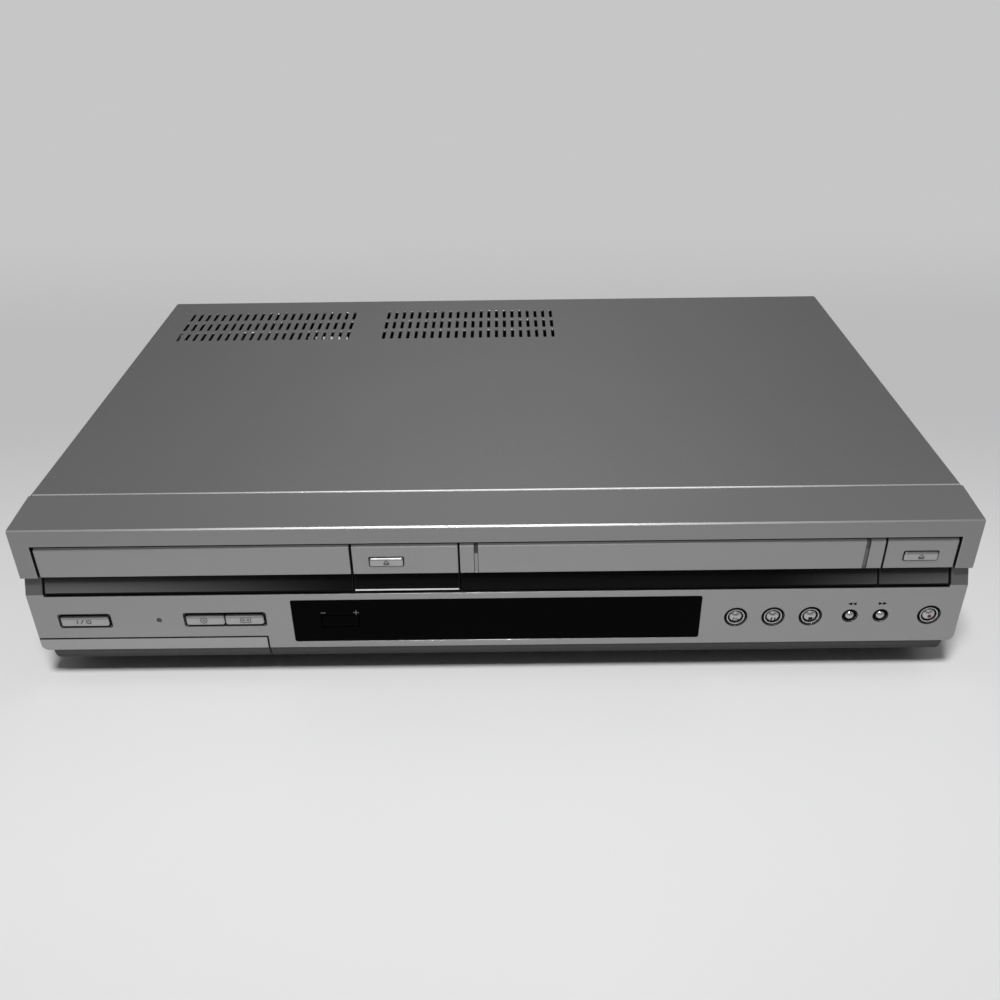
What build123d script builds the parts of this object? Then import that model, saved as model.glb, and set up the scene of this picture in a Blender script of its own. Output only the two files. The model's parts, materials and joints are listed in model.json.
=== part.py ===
"""A slim disc player and cassette recorder in one case: a silver fascia with a disc tray on the left
and a cassette slot on the right, a sheet cover with two banks of vent slots, and the works inside.

Sizes are in millimetres. X runs to the right as seen from the front, Y runs to the back, Z is up.
The origin is on the shelf, under the middle of the whole outline.
"""

import math
import os

from build123d import *

os.makedirs("parts", exist_ok=True)

# ---------------------------------------------------------------- case
case_width = 430.0
case_height = 88.0
case_depth = 276.7  # fascia face to the back of the cover
foot_height = 9.0
foot_radius = 11.0
foot_spread = 330.0  # between feet, across
foot_front = 48.0  # behind the fascia face
foot_rear = 238.0
cover_sheet = 1.0
metal_sheet = 1.0
cover_edge_round = 1.6
panel_gap = 0.5  # between the fascia and the cover
rear_lip_height = 12.0

# ---------------------------------------------------------------- fascia
fascia_depth = 26.9
fascia_wall = 2.5
brow_drop = 2.0  # how far the top of the fascia falls towards its front edge
bay_top = 77.5  # opening that holds the doors
bay_half_width = 207.0
groove_top = 60.5
groove_bottom = 51.1
groove_depth = 4.5
bay_bottom_gap = 1.2
face_bottom = 19.0
band_inset = 5.0  # the curved lower band stops short of both ends
band_bottom = 8.9
band_depth = 20.0
band_run = 10.0  # how far the band curves back before it turns level
band_set_back = 0.5

# ---------------------------------------------------------------- doors and blocks in the bay
door_recess = 0.8
door_wall = 2.4
door_gap = 0.7
door_bevel_height = 2.1
door_bevel_depth = 1.6
strip_recess = 0.3
door_groove_width = 1.5
door_groove_cut = 0.5
door_groove_rise = 0.3
door_grooves = (-8.6, 166.2)
tray_front_right = -65.1
centre_block_right = -16.5
cassette_door_right = 173.7
block_flange = 2.0
flange_height = 2.4
lower_hook = 0.9

# ---------------------------------------------------------------- buttons and window
button_proud = 0.8
button_travel = 0.9
button_play = 0.7  # gap round a button in its hole
button_flange = 1.3
button_flange_sheet = 1.2
button_stem = 1.8
key_step = 0.7  # drop from a round key's crown to its outer ring
key_dome = 0.4
eject_play = 0.5
board_depth = 12.0  # front of the control board, behind the face
board_sheet = 1.6
board_post_radius = 2.5
switch_body = 6.0
switch_height = 3.5
switch_plunger = 1.2
key_row = 36.0  # height of the oblong keys
round_row = 34.1
eject_row = 67.0
power_x = -191.1
power_size = (23.6, 6.9)
select_left = -144.7
select_right = -107.3
select_height = 6.9
select_split = 0.4
eject_size = (16.0, 5.4)
tray_eject_x = -48.9
cassette_eject_x = 190.6
large_hole_radius = 4.9
small_hole_radius = 3.15
large_keys = {"play_button": 111.2, "pause_button": 128.5, "stop_button": 145.8, "record_button": 200.8}
small_keys = {"rewind_button": 164.1, "forward_button": 178.3}
window_half_width = 94.8
window_top = 46.6
window_bottom = 22.3
window_sheet = 2.2
window_flange = 2.0
window_fit = 0.1
window_recess = 0.2
rocker_x = -72.5
rocker_size = (17.0, 6.0)
rocker_z = 34.0
rocker_gap = 0.5
rocker_pivot_depth = 6.0
rocker_pin_radius = 0.9
rocker_back = 7.4
rocker_clearance = 0.6
lamp_x = -156.7
lamp_radius = 1.3
lamp_recess = 0.1
lamp_collar = 1.5
display_x = 20.0
display_length = 130.0
display_thickness = 5.6
board_half = 206.0
board_low = 14.0
board_high = 48.0

# ---------------------------------------------------------------- socket door at the lower left
socket_door_right = -107.6
socket_door_top = 25.6
socket_door_wall = 2.2
socket_door_gap = 0.5
socket_hinge_depth = 9.5
socket_hinge_height = 13.4
socket_pin_radius = 1.2
niche_depth = 16.0
niche_wall = 1.5
socket_x = (-190.0, -172.0, -154.0)
socket_barrel_radius = 4.15
socket_bore_radius = 1.65
front_socket_height = 19.5
front_socket_body = 11.0
front_socket_face = 8.0  # how far behind the fascia's face the barrels end
cheek_width = 2.0
cheek_reach = 2.2
cheek_gap = 0.7  # between the cheeks and the door that swings past them

# ---------------------------------------------------------------- disc loader
tray_width = 128.0
tray_length = 163.0
tray_top = 67.5
tray_seat = 65.7
tray_floor = 2.5
tray_rail = 6.0  # full height of the tray's side rails
tray_rail_width = 4.0
tray_travel = 132.0
disc_well_radius = 60.8
small_well_radius = 40.8
small_well_depth = 1.0
spindle_depth = 78.0  # behind the fascia face
tray_slot_width = 36.0
loader_front = 16.0
loader_back = 200.0
loader_wall = 2.5
loader_floor_bottom = 44.0
loader_floor = 2.5
loader_top = 70.0
loader_leg_radius = 4.0
running_gap = 0.3
tray_start = 6.9  # the tray's front end, behind the fascia's face
tongue_reach = 2.7
tongue_low = 63.2
tongue_height = 2.0
guide_height = 2.0
bridge_depth = 40.0
bridge_sheet = 1.5
bridge_rib = 5.0
clamper_sheet = 1.5

# ---------------------------------------------------------------- tray drive
rack_module = 1.2
pinion_teeth = 14
wheel_module = 0.8
wheel_teeth = 34
pulley_pinion_teeth = 12
rack_offset = 55.0  # from the tray's middle to the rack's pitch line
pressure_angle = math.radians(20)
backlash = 0.3
gear_depth = 35.0  # the gear train's row, behind the face
gear_thickness = 3.4
gear_collar = 0.8
pulley_flange = 0.6
belt_play = 0.2
motor_radius = 10.0
motor_height = 14.0
pulley_radius = 9.0
motor_pulley_radius = 2.4
pulley_thickness = 3.4
belt_thickness = 1.1
motor_offset = 35.0  # between the two pulleys
gear_pin_radius = 1.5
shaft_play = 0.05

# ---------------------------------------------------------------- pickup unit
unit_half_width = 34.0
unit_front = 60.0
unit_back = 168.0
unit_sheet = 2.0
unit_bottom = 55.0
unit_pivot_depth = 164.0
unit_pivot_radius = 2.0
unit_pivot_height = 56.0
unit_ear = 3.0
rod_rise = 2.9
spindle_motor_height = 3.8
spindle_motor_radius = 11.0
rod_radius = 1.5
rod_cover = 0.8  # material over the rods where the chassis holds them
rod_spread = 22.0
pickup_travel = 34.0
pickup_length = 24.0
pickup_start = 97.0
turntable_radius = 14.5
spindle_radius = 1.0
clamper_radius = 13.5
clamper_neck = 9.0

# ---------------------------------------------------------------- cassette works
cassette_width = 187.0
cassette_height = 25.0
cassette_play = 0.7
holder_sheet = 1.2
holder_front = 36.0
holder_length = 50.0
holder_ledge = 8.0
carriage_travel = 56.0
holder_drop = 22.0
slider_sheet = 1.2
slider_bottom = 40.0
deck_top = 21.0
deck_sheet = 1.2
deck_front = 34.0
deck_back = 228.0
deck_half_width = 103.0
bracket_sheet = 1.2
drum_radius = 31.0
drum_depth = 186.0
drum_tilt = 6.0
reel_spacing = 96.0
reel_depth = 86.0
capstan_x = 56.0  # from the middle of the deck
capstan_depth = 162.0
capstan_radius = 1.5
flywheel_radius = 19.0
pinch_radius = 7.0
pinch_gap = 0.1
pinch_swing = 35.0  # degrees
guide_x = 42.0
guide_start = 138.0
guide_travel = 40.0
holder_pins = (46.0, 76.0)
holder_pin_radius = 1.4
holder_pin_length = 1.4
runner_depths = (44.0, 78.0)
runner_radius = 1.5
runner_length = 1.4
bracket_front = 36.0
bracket_back = 148.0
bracket_foot = 5.0
bracket_bar_depth = 98.0
bracket_bar = 14.0
drum_seat = 5.0
drum_shaft_radius = 3.0
lower_drum_height = 16.0
upper_drum_height = 18.0
drum_dish = 3.0
reel_radius = 20.0
reel_seat = 7.6
reel_hub_radius = 4.4
reel_hub_height = 14.0
reel_pin_radius = 2.0
reel_high = 41.0
flywheel_low = 11.5
flywheel_thickness = 5.0
capstan_high = 54.0
capstan_bearing = 5.0
pinch_arm_high = 29.0
pinch_arm_sheet = 2.0
pinch_roller_height = 18.0
guide_slot = 6.0
guide_base = 3.0
guide_roller_radius = 3.0
guide_roller_height = 24.0
guide_cap = 1.2
hinge_height = 80.5
hinge_depth = 4.4
hinge_pin_radius = 1.2
hinge_pin_length = 3.0
hinge_ear = 1.6
hinge_ear_radius = 1.7
spring_stub_radius = 1.1
spring_stub_length = 6.0
spring_wire = 0.5
spring_radius = 1.5
spring_pitch = 1.0
spring_turns = 4

# ---------------------------------------------------------------- boards and sockets at the back
board_height = 15.0
socket_reach = 9.0  # the longest socket stands this far out of the back
rear_socket_reach = 8.0
rear_socket_pitch = 14.0
rear_socket_columns = 6
rear_socket_x = -5.0
rear_socket_rows = (27.0, 41.0)
tuner_x = 150.0
tuner_width = 52.0
tuner_height = 26.0
tuner_gap = 12.0  # between the cassette deck and the tuner
tuner_socket_radius = 4.75
tuner_socket_pitch = 18.0
inlet_x = -180.0
inlet_size = (20.0, 12.0)
inlet_height = 30.0
screw_head_radius = 3.0
screw_head_height = 1.7
screw_radius = 1.4
panel_clearance = 0.3
rear_wall_gap = 0.3  # between the back panel and the cover's rear lip
inlet_body = 16.0
inlet_flange = 1.2
inlet_pins = 8.6
cover_low = 10.5
side_screw_height = 15.0
side_screw_depths = (62.0, 246.0)
rear_screw_x = (-150.0, 0.0, 150.0)
panel_screws = [(-55.0, 34.0), (45.0, 34.0), (118.0, 34.0), (182.0, 34.0)]
rear_vent_x = -120.0
rear_vent_height = 58.0
rear_vent_columns = 12
floor_vents = [(-135.0, 110.0, 9, 4), (60.0, 250.0, 12, 1)]
main_chips = [
    (-150.0, 70.0, 24.0, 24.0, 2.4),
    (-110.0, 110.0, 20.0, 20.0, 2.0),
    (-60.0, 90.0, 16.0, 30.0, 3.0),
    (-150.0, 150.0, 14.0, 22.0, 3.0),
    (-45.0, 160.0, 12.0, 40.0, 8.0),
    (75.0, deck_back + 14.0, 30.0, 18.0, 4.0),
]
main_posts = [(-200.0, 50.0), (-38.0, 34.0), (-200.0, 170.0), (-38.0, 225.0), (176.0, 238.0)]
# on the power board the second number is a share of the board, from its front edge
power_chips = [(-188.0, 0.25, 14.0, 22.0, 14.0), (-80.0, 0.68, 18.0, 10.0, 12.0)]
transformer_x = -126.0
transformer_share = 0.53
transformer_core = (26.0, 24.0, 22.0)
transformer_coil = (34.0, 10.0, 12.0)
transformer_coil_rise = 5.0
capacitor_places = [
    (-160.0, 0.28, 9.0, 28.0),
    (-96.0, 0.15, 5.0, 16.0),
    (-82.0, 0.15, 5.0, 16.0),
    (-68.0, 0.15, 4.0, 12.0),
    (-68.0, 0.4, 4.0, 12.0),
]
sink_x = -98.0
sink_share = 0.62
sink_sheet = 3.0
sink_spare = 24.6  # of the board's depth, not taken by the heat sink
sink_height = 30.0
ribbons = [(-58.0, 16.0), (-92.0, 12.0)]
ribbon_height = 32.0
ribbon_knee = 24.0
ribbon_end = 42.0
ribbon_sheet = 0.4
vent_slot = (2.0, 12.5)
vent_pitch = 5.0
vent_row_pitch = 16.6
vent_columns = 22
vent_rows = 3
vent_depth = 234.0  # middle row, behind the face
vent_banks = (-144.2, -16.8)

# ---------------------------------------------------------------- places that follow from the sizes
half_width = case_width / 2
front_y = -(case_depth + socket_reach - button_proud) / 2
brow_height = case_height - brow_drop
chassis_top = foot_height + metal_sheet
chassis_half = half_width - band_inset
tray_front_left = -bay_half_width + door_gap
cassette_door_left = centre_block_right + door_gap
right_block_left = cassette_door_right + door_gap
loader_x = (tray_front_left + tray_front_right) / 2
loader_half = tray_width / 2 + 3.0 + loader_wall
deck_x = (cassette_door_left + cassette_door_right) / 2
holder_half = cassette_width / 2 + cassette_play
cassette_floor = groove_bottom + 0.3
bay_floor = groove_bottom - bay_bottom_gap
niche_left = -chassis_half + fascia_wall
niche_right = socket_door_right + socket_door_gap
niche_top = socket_door_top + socket_door_gap
cheek_left = niche_left + 3.0
door_top = bay_top - door_gap
board_posts = [(-170.0, 45.0), (-100.5, 18.0), (100.5, 18.0), (155.0, 18.0), (190.0, 45.0)]


def back(depth):
    """The Y of something that lies this far behind the fascia's face."""
    return front_y + depth


def facing(depth):
    """A drawing plane seen from the front, this far behind the face; it extrudes towards the viewer."""
    return Plane.XZ.offset(-back(depth))


def side(x):
    """A drawing plane seen from the right-hand side; it extrudes to the right."""
    return Plane.YZ.offset(x)


# ================================================================ fascia
def fascia_body(left, right, depth):
    """The fascia's outer shape above the curved band: brow, face, groove and lower face."""
    with BuildPart() as body:
        with BuildSketch(side(left)):
            with BuildLine():
                Polyline(
                    (back(depth), brow_height + brow_drop * depth / fascia_depth - 0.2),
                    (back(0), brow_height),
                    (back(0), groove_top),
                    (back(groove_depth), groove_top),
                    (back(0), groove_bottom),
                    (back(0), face_bottom),
                    (back(depth), face_bottom),
                    close=True,
                )
            make_face()
        extrude(amount=right - left)
    return body.part


def fascia_band(left, right, wall):
    """The curved band below the face. wall pulls its skin inwards all round."""
    with BuildPart() as band:
        with BuildSketch(side(left)):
            with BuildLine():
                start = (back(band_set_back + wall), face_bottom)
                end = (back(band_run), band_bottom + wall)
                TangentArc(start, end, tangent=(0, -1))
                corner = (back(band_depth), band_bottom + wall)
                Polyline(end, corner, (back(band_depth), face_bottom), start)
            make_face()
        extrude(amount=right - left)
    return band.part


with BuildPart() as front_panel:
    add(fascia_body(-half_width, half_width, fascia_depth))
    chamfer(front_panel.edges().filter_by(Axis.X).group_by(Axis.Y)[0].sort_by(Axis.Z)[-1], 0.7)
    fillet(front_panel.edges().filter_by(Axis.Y).group_by(Axis.Z)[0], 3.0)
    add(fascia_band(-chassis_half, chassis_half, 0))
    # hollow it from the back
    with BuildSketch(side(-half_width + fascia_wall)):
        with BuildLine():
            Polyline(
                (back(fascia_depth), case_height - fascia_wall - 0.2),
                (back(fascia_wall), brow_height - fascia_wall),
                (back(fascia_wall), groove_top + fascia_wall),
                (back(groove_depth + fascia_wall), groove_top + fascia_wall),
                (back(groove_depth + fascia_wall), groove_top),
                (back(fascia_wall), groove_bottom - 1.0),
                (back(fascia_wall), face_bottom + fascia_wall),
                (back(fascia_depth), face_bottom + fascia_wall),
                close=True,
            )
        make_face()
    extrude(amount=case_width - 2 * fascia_wall, mode=Mode.SUBTRACT)
    band_inner = chassis_half - fascia_wall
    add(fascia_band(-band_inner, band_inner, fascia_wall), mode=Mode.SUBTRACT)
    with Locations((0, back(fascia_wall), face_bottom)):
        Box(
            2 * (chassis_half - fascia_wall),
            fascia_depth,
            fascia_wall + 0.5,
            align=(Align.CENTER, Align.MIN, Align.MIN),
            mode=Mode.SUBTRACT,
        )
    # the long bay for the doors
    with Locations((0, back(0), bay_floor)):
        Box(
            2 * bay_half_width,
            3 * fascia_wall,
            bay_top - bay_floor,
            align=(Align.CENTER, Align.CENTER, Align.MIN),
            mode=Mode.SUBTRACT,
        )
    with Locations((0, back(groove_depth), bay_floor)):
        Box(
            2 * bay_half_width,
            3 * groove_depth,
            groove_top + fascia_wall - bay_floor + 1.0,
            align=(Align.CENTER, Align.CENTER, Align.MIN),
            mode=Mode.SUBTRACT,
        )
    # key holes, lamp hole and window
    with BuildSketch(facing(fascia_wall)):
        with Locations((power_x, key_row)):
            RectangleRounded(*power_size, 1.0)
        with Locations(((select_left + select_right) / 2, key_row)):
            RectangleRounded(select_right - select_left, select_height, 1.0)
        with Locations(*[(x, round_row) for x in large_keys.values()]):
            Circle(large_hole_radius)
        with Locations(*[(x, round_row) for x in small_keys.values()]):
            Circle(small_hole_radius)
        with Locations((lamp_x, key_row)):
            Circle(lamp_radius)
        with Locations((0, (window_top + window_bottom) / 2)):
            RectangleRounded(2 * window_half_width, window_top - window_bottom, 1.2)
    extrude(amount=2 * fascia_wall, both=True, mode=Mode.SUBTRACT)
    # socket niche behind the pull-down door
    with BuildSketch(side(-half_width)):
        with Locations((back(0), band_bottom)):
            Rectangle(socket_hinge_depth, niche_top - band_bottom, align=(Align.MIN, Align.MIN))
        with Locations((back(socket_hinge_depth), socket_hinge_height)):
            Circle(niche_top - socket_hinge_height)
        with Locations((back(0), band_bottom)):
            Rectangle(
                niche_depth,
                niche_top - band_bottom,
                align=(Align.MIN, Align.MIN),
                mode=Mode.INTERSECT,
            )
    extrude(amount=niche_left + half_width, mode=Mode.SUBTRACT)
    with Locations((niche_left, back(0), band_bottom)):
        Box(
            niche_right - niche_left,
            niche_depth,
            niche_top - band_bottom,
            align=(Align.MIN, Align.MIN, Align.MIN),
            mode=Mode.SUBTRACT,
        )
    with Locations((niche_left, back(fascia_wall), niche_top)):
        Box(
            niche_right - niche_left + niche_wall,
            niche_depth + niche_wall - fascia_wall,
            niche_wall,
            align=(Align.MIN, Align.MIN, Align.MIN),
        )
    with Locations((niche_left, back(niche_depth), band_bottom)):
        Box(
            niche_right - niche_left + niche_wall,
            niche_wall,
            niche_top + niche_wall - band_bottom,
            align=(Align.MIN, Align.MIN, Align.MIN),
        )
    with Locations((niche_right, back(fascia_wall), socket_hinge_height)):
        Box(
            niche_wall,
            niche_depth - fascia_wall,
            niche_top - socket_hinge_height,
            align=(Align.MIN, Align.MIN, Align.MIN),
        )
    # cheeks that carry the pull-down door's hinge pins
    for cheek_x in (cheek_left, niche_right - cheek_width):
        with BuildSketch(side(cheek_x)):
            with Locations((back(socket_hinge_depth), socket_hinge_height)):
                Circle(cheek_reach)
                Rectangle(
                    niche_depth - socket_hinge_depth,
                    2 * cheek_reach,
                    align=(Align.MIN, Align.CENTER),
                )
        extrude(amount=cheek_width)
    with BuildSketch(side(niche_left)):
        with Locations((back(socket_hinge_depth), socket_hinge_height)):
            Circle(socket_pin_radius + shaft_play)
    extrude(amount=niche_right - niche_left, mode=Mode.SUBTRACT)
    with BuildSketch(facing(niche_depth)):
        with Locations(*[(x, front_socket_height) for x in socket_x]):
            Circle(socket_barrel_radius + running_gap)
    extrude(amount=-niche_wall, mode=Mode.SUBTRACT)
    # bosses for the cassette door's pins, hanging from the brow
    for boss_left in (cassette_door_left - 3.4, cassette_door_right + 0.8):
        with BuildSketch(side(boss_left)):
            with Locations((back(fascia_wall), bay_top + 0.3)):
                Rectangle(5.0, brow_height - fascia_wall - bay_top + 0.5, align=(Align.MIN, Align.MIN))
            with Locations((back(hinge_depth), hinge_height)):
                Circle(hinge_pin_radius + shaft_play, mode=Mode.SUBTRACT)
        extrude(amount=2.6)
    # posts that hold the control board
    with BuildSketch(facing(fascia_wall)):
        with Locations(*board_posts):
            Circle(board_post_radius)
    extrude(amount=fascia_wall - board_depth)
    # tongues that the cover's front edge sits on
    tongue_start = back(fascia_depth - 6.0)
    with Locations(*[(x, tongue_start, case_height - cover_sheet - 0.2) for x in (-150, -50, 50, 150)]):
        Box(30.0, 14.0, fascia_wall, align=(Align.CENTER, Align.MIN, Align.MAX))
front_panel.part.label = "front_panel"
export_step(front_panel.part, "parts/front_panel.step")


# ================================================================ blocks and doors in the bay
def door_section(left, right):
    """A front of the bay's shape: bevelled face above, slanted strip below, hollow behind."""
    face = back(door_recess)
    with BuildPart() as door:
        with BuildSketch(side(left)):
            with BuildLine():
                Polyline(
                    (face + door_bevel_depth, door_top),
                    (face, door_top - door_bevel_height),
                    (face, groove_top),
                    (back(groove_depth), groove_top),
                    (back(strip_recess), groove_bottom),
                    (back(strip_recess) + door_wall, groove_bottom),
                    (back(groove_depth) + door_wall, groove_top),
                    (back(groove_depth) + door_wall, groove_top + door_wall),
                    (face + door_wall, groove_top + door_wall),
                    (face + door_wall, door_top),
                    close=True,
                )
            make_face()
        extrude(amount=right - left)
    return door.part


def block_with_key(left, right, flange_left, flange_right, key_x):
    """A fixed front with an oblong key hole and flanges that hook behind the fascia's wall."""
    with BuildPart() as block:
        add(door_section(left, right))
        for low, high in (
            (door_top - flange_height, bay_top + flange_height),
            (bay_floor - lower_hook, groove_bottom + flange_height),
        ):
            with Locations((flange_left, back(fascia_wall), low)):
                Box(
                    flange_right - flange_left,
                    block_flange,
                    high - low,
                    align=(Align.MIN, Align.MIN, Align.MIN),
                )
        with BuildSketch(facing(door_recess + door_wall + block_flange)):
            with Locations((key_x, eject_row)):
                RectangleRounded(*eject_size, 0.9)
        extrude(amount=3 * door_wall, mode=Mode.SUBTRACT)
    return block.part


with BuildPart() as centre_block:
    add(block_with_key(tray_front_right + door_gap, centre_block_right, tray_front_right + 2.0,
                       centre_block_right - 4.0, tray_eject_x))
centre_block.part.label = "centre_block"
export_step(centre_block.part, "parts/centre_block.step")

with BuildPart() as right_block:
    add(block_with_key(right_block_left, bay_half_width - door_gap, right_block_left + 4.0,
                       bay_half_width - 1.5, cassette_eject_x))
right_block.part.label = "right_block"
export_step(right_block.part, "parts/right_block.step")

with BuildPart() as tray_front:
    add(door_section(tray_front_left, tray_front_right))
tray_front.part.label = "tray_front"
export_step(tray_front.part, "parts/tray_front.step")

with BuildPart() as cassette_door:
    add(door_section(cassette_door_left, cassette_door_right))
    # upright grooves near both ends of the face
    with Locations(*[(x, back(door_recess), groove_top + door_groove_rise) for x in door_grooves]):
        Box(
            door_groove_width,
            2 * door_groove_cut,
            door_top - door_bevel_height - groove_top,
            align=(Align.CENTER, Align.CENTER, Align.MIN),
            mode=Mode.SUBTRACT,
        )
    # ears and pins at both ends
    for ear_left, pin_left in (
        (cassette_door_left, cassette_door_left - hinge_pin_length),
        (cassette_door_right - hinge_ear, cassette_door_right),
    ):
        with BuildSketch(side(ear_left)):
            with Locations((back(hinge_depth), hinge_height)):
                Circle(hinge_ear_radius)
            with Locations((back(hinge_depth), door_top - flange_height)):
                Rectangle(
                    2 * hinge_ear_radius,
                    hinge_height - door_top + flange_height,
                    align=(Align.CENTER, Align.MIN),
                )
        extrude(amount=hinge_ear)
        with BuildSketch(side(pin_left)):
            with Locations((back(hinge_depth), hinge_height)):
                Circle(hinge_pin_radius)
        extrude(amount=hinge_pin_length)
    # stub that the return spring turns on
    with BuildSketch(side(cassette_door_left)):
        with Locations((back(hinge_depth), hinge_height)):
            Circle(spring_stub_radius)
    extrude(amount=hinge_ear + spring_stub_length)
cassette_door.part.label = "cassette_door"
export_step(cassette_door.part, "parts/cassette_door.step")

spring_start = cassette_door_left + hinge_ear + 0.6
with BuildPart() as flap_spring:
    with BuildLine() as coil:
        Helix(
            pitch=spring_pitch,
            height=spring_pitch * spring_turns,
            radius=spring_radius,
            center=(spring_start, back(hinge_depth), hinge_height),
            direction=(1, 0, 0),
        )
    with BuildSketch(Plane(origin=coil.wires()[0] @ 0, z_dir=coil.wires()[0] % 0)):
        Circle(spring_wire / 2)
    sweep(path=coil.wires()[0], is_frenet=True)
flap_spring.part.label = "flap_spring"
export_step(flap_spring.part, "parts/flap_spring.step")


# ================================================================ socket door
with BuildPart() as jack_door:
    add(fascia_body(-half_width, socket_door_right, niche_depth - socket_door_gap))
    split(bisect_by=Plane.XY.offset(socket_door_top), keep=Keep.BOTTOM)
    fillet(jack_door.edges().filter_by(Axis.Y).group_by(Axis.X)[0].sort_by(Axis.Z)[0], 3.0)
    add(fascia_band(-chassis_half, socket_door_right, 0))
    # only what lies inside the swing about the hinge
    with BuildSketch(side(-half_width)):
        with Locations((back(0), band_bottom)):
            Rectangle(socket_hinge_depth, socket_door_top - band_bottom, align=(Align.MIN, Align.MIN))
        with Locations((back(socket_hinge_depth), socket_hinge_height)):
            Circle(socket_door_top - socket_hinge_height)
        with Locations((back(0), band_bottom)):
            Rectangle(
                band_run,
                socket_door_top - band_bottom,
                align=(Align.MIN, Align.MIN),
                mode=Mode.INTERSECT,
            )
    extrude(amount=socket_door_right + half_width, mode=Mode.INTERSECT)
    # hollow it from behind
    with BuildSketch(side(-half_width + socket_door_wall)):
        with Locations((back(socket_door_wall), face_bottom + socket_door_wall)):
            Rectangle(2 * band_run, 2 * band_run, align=(Align.MIN, Align.MIN))
    extrude(amount=2 * half_width, mode=Mode.SUBTRACT)
    add(
        fascia_band(-chassis_half + socket_door_wall, half_width, socket_door_wall),
        mode=Mode.SUBTRACT,
    )
    with Locations((-chassis_half + socket_door_wall, back(band_set_back + socket_door_wall), face_bottom)):
        Box(
            half_width,
            2 * band_run,
            2 * socket_door_wall,
            align=(Align.MIN, Align.MIN, Align.CENTER),
            mode=Mode.SUBTRACT,
        )
    # notches for the cheeks, then lugs and pins
    for cheek_x in (cheek_left, niche_right - cheek_width):
        with Locations((cheek_x - running_gap, back(socket_hinge_depth - cheek_reach - cheek_gap), 0)):
            Box(
                cheek_width + 2 * running_gap,
                2 * band_run,
                socket_hinge_height + cheek_reach + cheek_gap,
                align=(Align.MIN, Align.MIN, Align.MIN),
                mode=Mode.SUBTRACT,
            )
    for lug_left, pin_left in (
        (cheek_left + cheek_width + running_gap, cheek_left + running_gap),
        (niche_right - 2 * cheek_width - running_gap, niche_right - cheek_width - running_gap),
    ):
        with BuildSketch(side(lug_left)):
            with Locations((back(socket_hinge_depth), socket_hinge_height)):
                Circle(cheek_reach)
            with Locations((back(socket_door_wall), socket_hinge_height)):
                Rectangle(
                    socket_hinge_depth - socket_door_wall,
                    cheek_reach,
                    align=(Align.MIN, Align.MIN),
                )
        extrude(amount=cheek_width)
        with BuildSketch(side(pin_left)):
            with Locations((back(socket_hinge_depth), socket_hinge_height)):
                Circle(socket_pin_radius)
        extrude(amount=cheek_width)
jack_door.part.label = "jack_door"
export_step(jack_door.part, "parts/jack_door.step")

with BuildPart() as front_av_jacks:
    jack_block_low = band_bottom + fascia_wall + 0.6
    with Locations((sum(socket_x) / len(socket_x), back(niche_depth + niche_wall), jack_block_low)):
        Box(
            socket_x[-1] - socket_x[0] + 4 * socket_barrel_radius,
            front_socket_body,
            niche_top - band_bottom - fascia_wall - 0.6,
            align=(Align.CENTER, Align.MIN, Align.MIN),
        )
    with BuildSketch(facing(niche_depth + niche_wall)):
        with Locations(*[(x, front_socket_height) for x in socket_x]):
            Circle(socket_barrel_radius)
            Circle(socket_bore_radius, mode=Mode.SUBTRACT)
    extrude(amount=niche_depth + niche_wall - front_socket_face)
front_av_jacks.part.label = "front_av_jacks"
export_step(front_av_jacks.part, "parts/front_av_jacks.step")


# ================================================================ window, lamp and display
window_centre = (window_top + window_bottom) / 2
window_height = window_top - window_bottom
with BuildPart() as display_window:
    with BuildSketch(facing(fascia_wall)):
        with Locations((0, window_centre)):
            RectangleRounded(2 * (window_half_width - window_fit), window_height - 2 * window_fit, 1.1)
    extrude(amount=fascia_wall - window_recess)
    with BuildSketch(facing(fascia_wall + window_sheet)):
        with Locations((0, window_centre)):
            flange_width = 2 * (window_half_width + window_flange)
            RectangleRounded(flange_width, window_height + 2 * window_flange, 1.2)
    extrude(amount=window_sheet)
    # lugs for the rocker's pins
    lug_rise = rocker_size[1] / 2 + rocker_gap
    for lug_low in (rocker_z + lug_rise, rocker_z - lug_rise - 2.0):
        with Locations((rocker_x, back(fascia_wall + window_sheet), lug_low)):
            Box(
                5.0,
                rocker_pivot_depth - fascia_wall - window_sheet + 1.8,
                2.0,
                align=(Align.CENTER, Align.MIN, Align.MIN),
            )
    with Locations((rocker_x, back(0), rocker_z)):
        Box(
            rocker_size[0] + 2 * rocker_gap,
            6 * window_sheet,
            rocker_size[1] + 2 * rocker_gap,
            mode=Mode.SUBTRACT,
        )
    with Locations((rocker_x, back(rocker_pivot_depth), rocker_z)):
        Cylinder(rocker_pin_radius + shaft_play, rocker_size[1] + 2 * rocker_gap + 8.0, mode=Mode.SUBTRACT)
display_window.part.label = "display_window"
export_step(display_window.part, "parts/display_window.step")

with BuildPart() as channel_rocker:
    with BuildSketch(facing(rocker_back)):
        with Locations((rocker_x, rocker_z)):
            RectangleRounded(*rocker_size, 0.8)
    extrude(amount=rocker_back - window_recess)
    with Locations((rocker_x, back(rocker_pivot_depth), rocker_z)):
        Cylinder(rocker_pin_radius, rocker_size[1] + 2 * rocker_gap + 3.4)
channel_rocker.part.label = "channel_rocker"
export_step(channel_rocker.part, "parts/channel_rocker.step")

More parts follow.
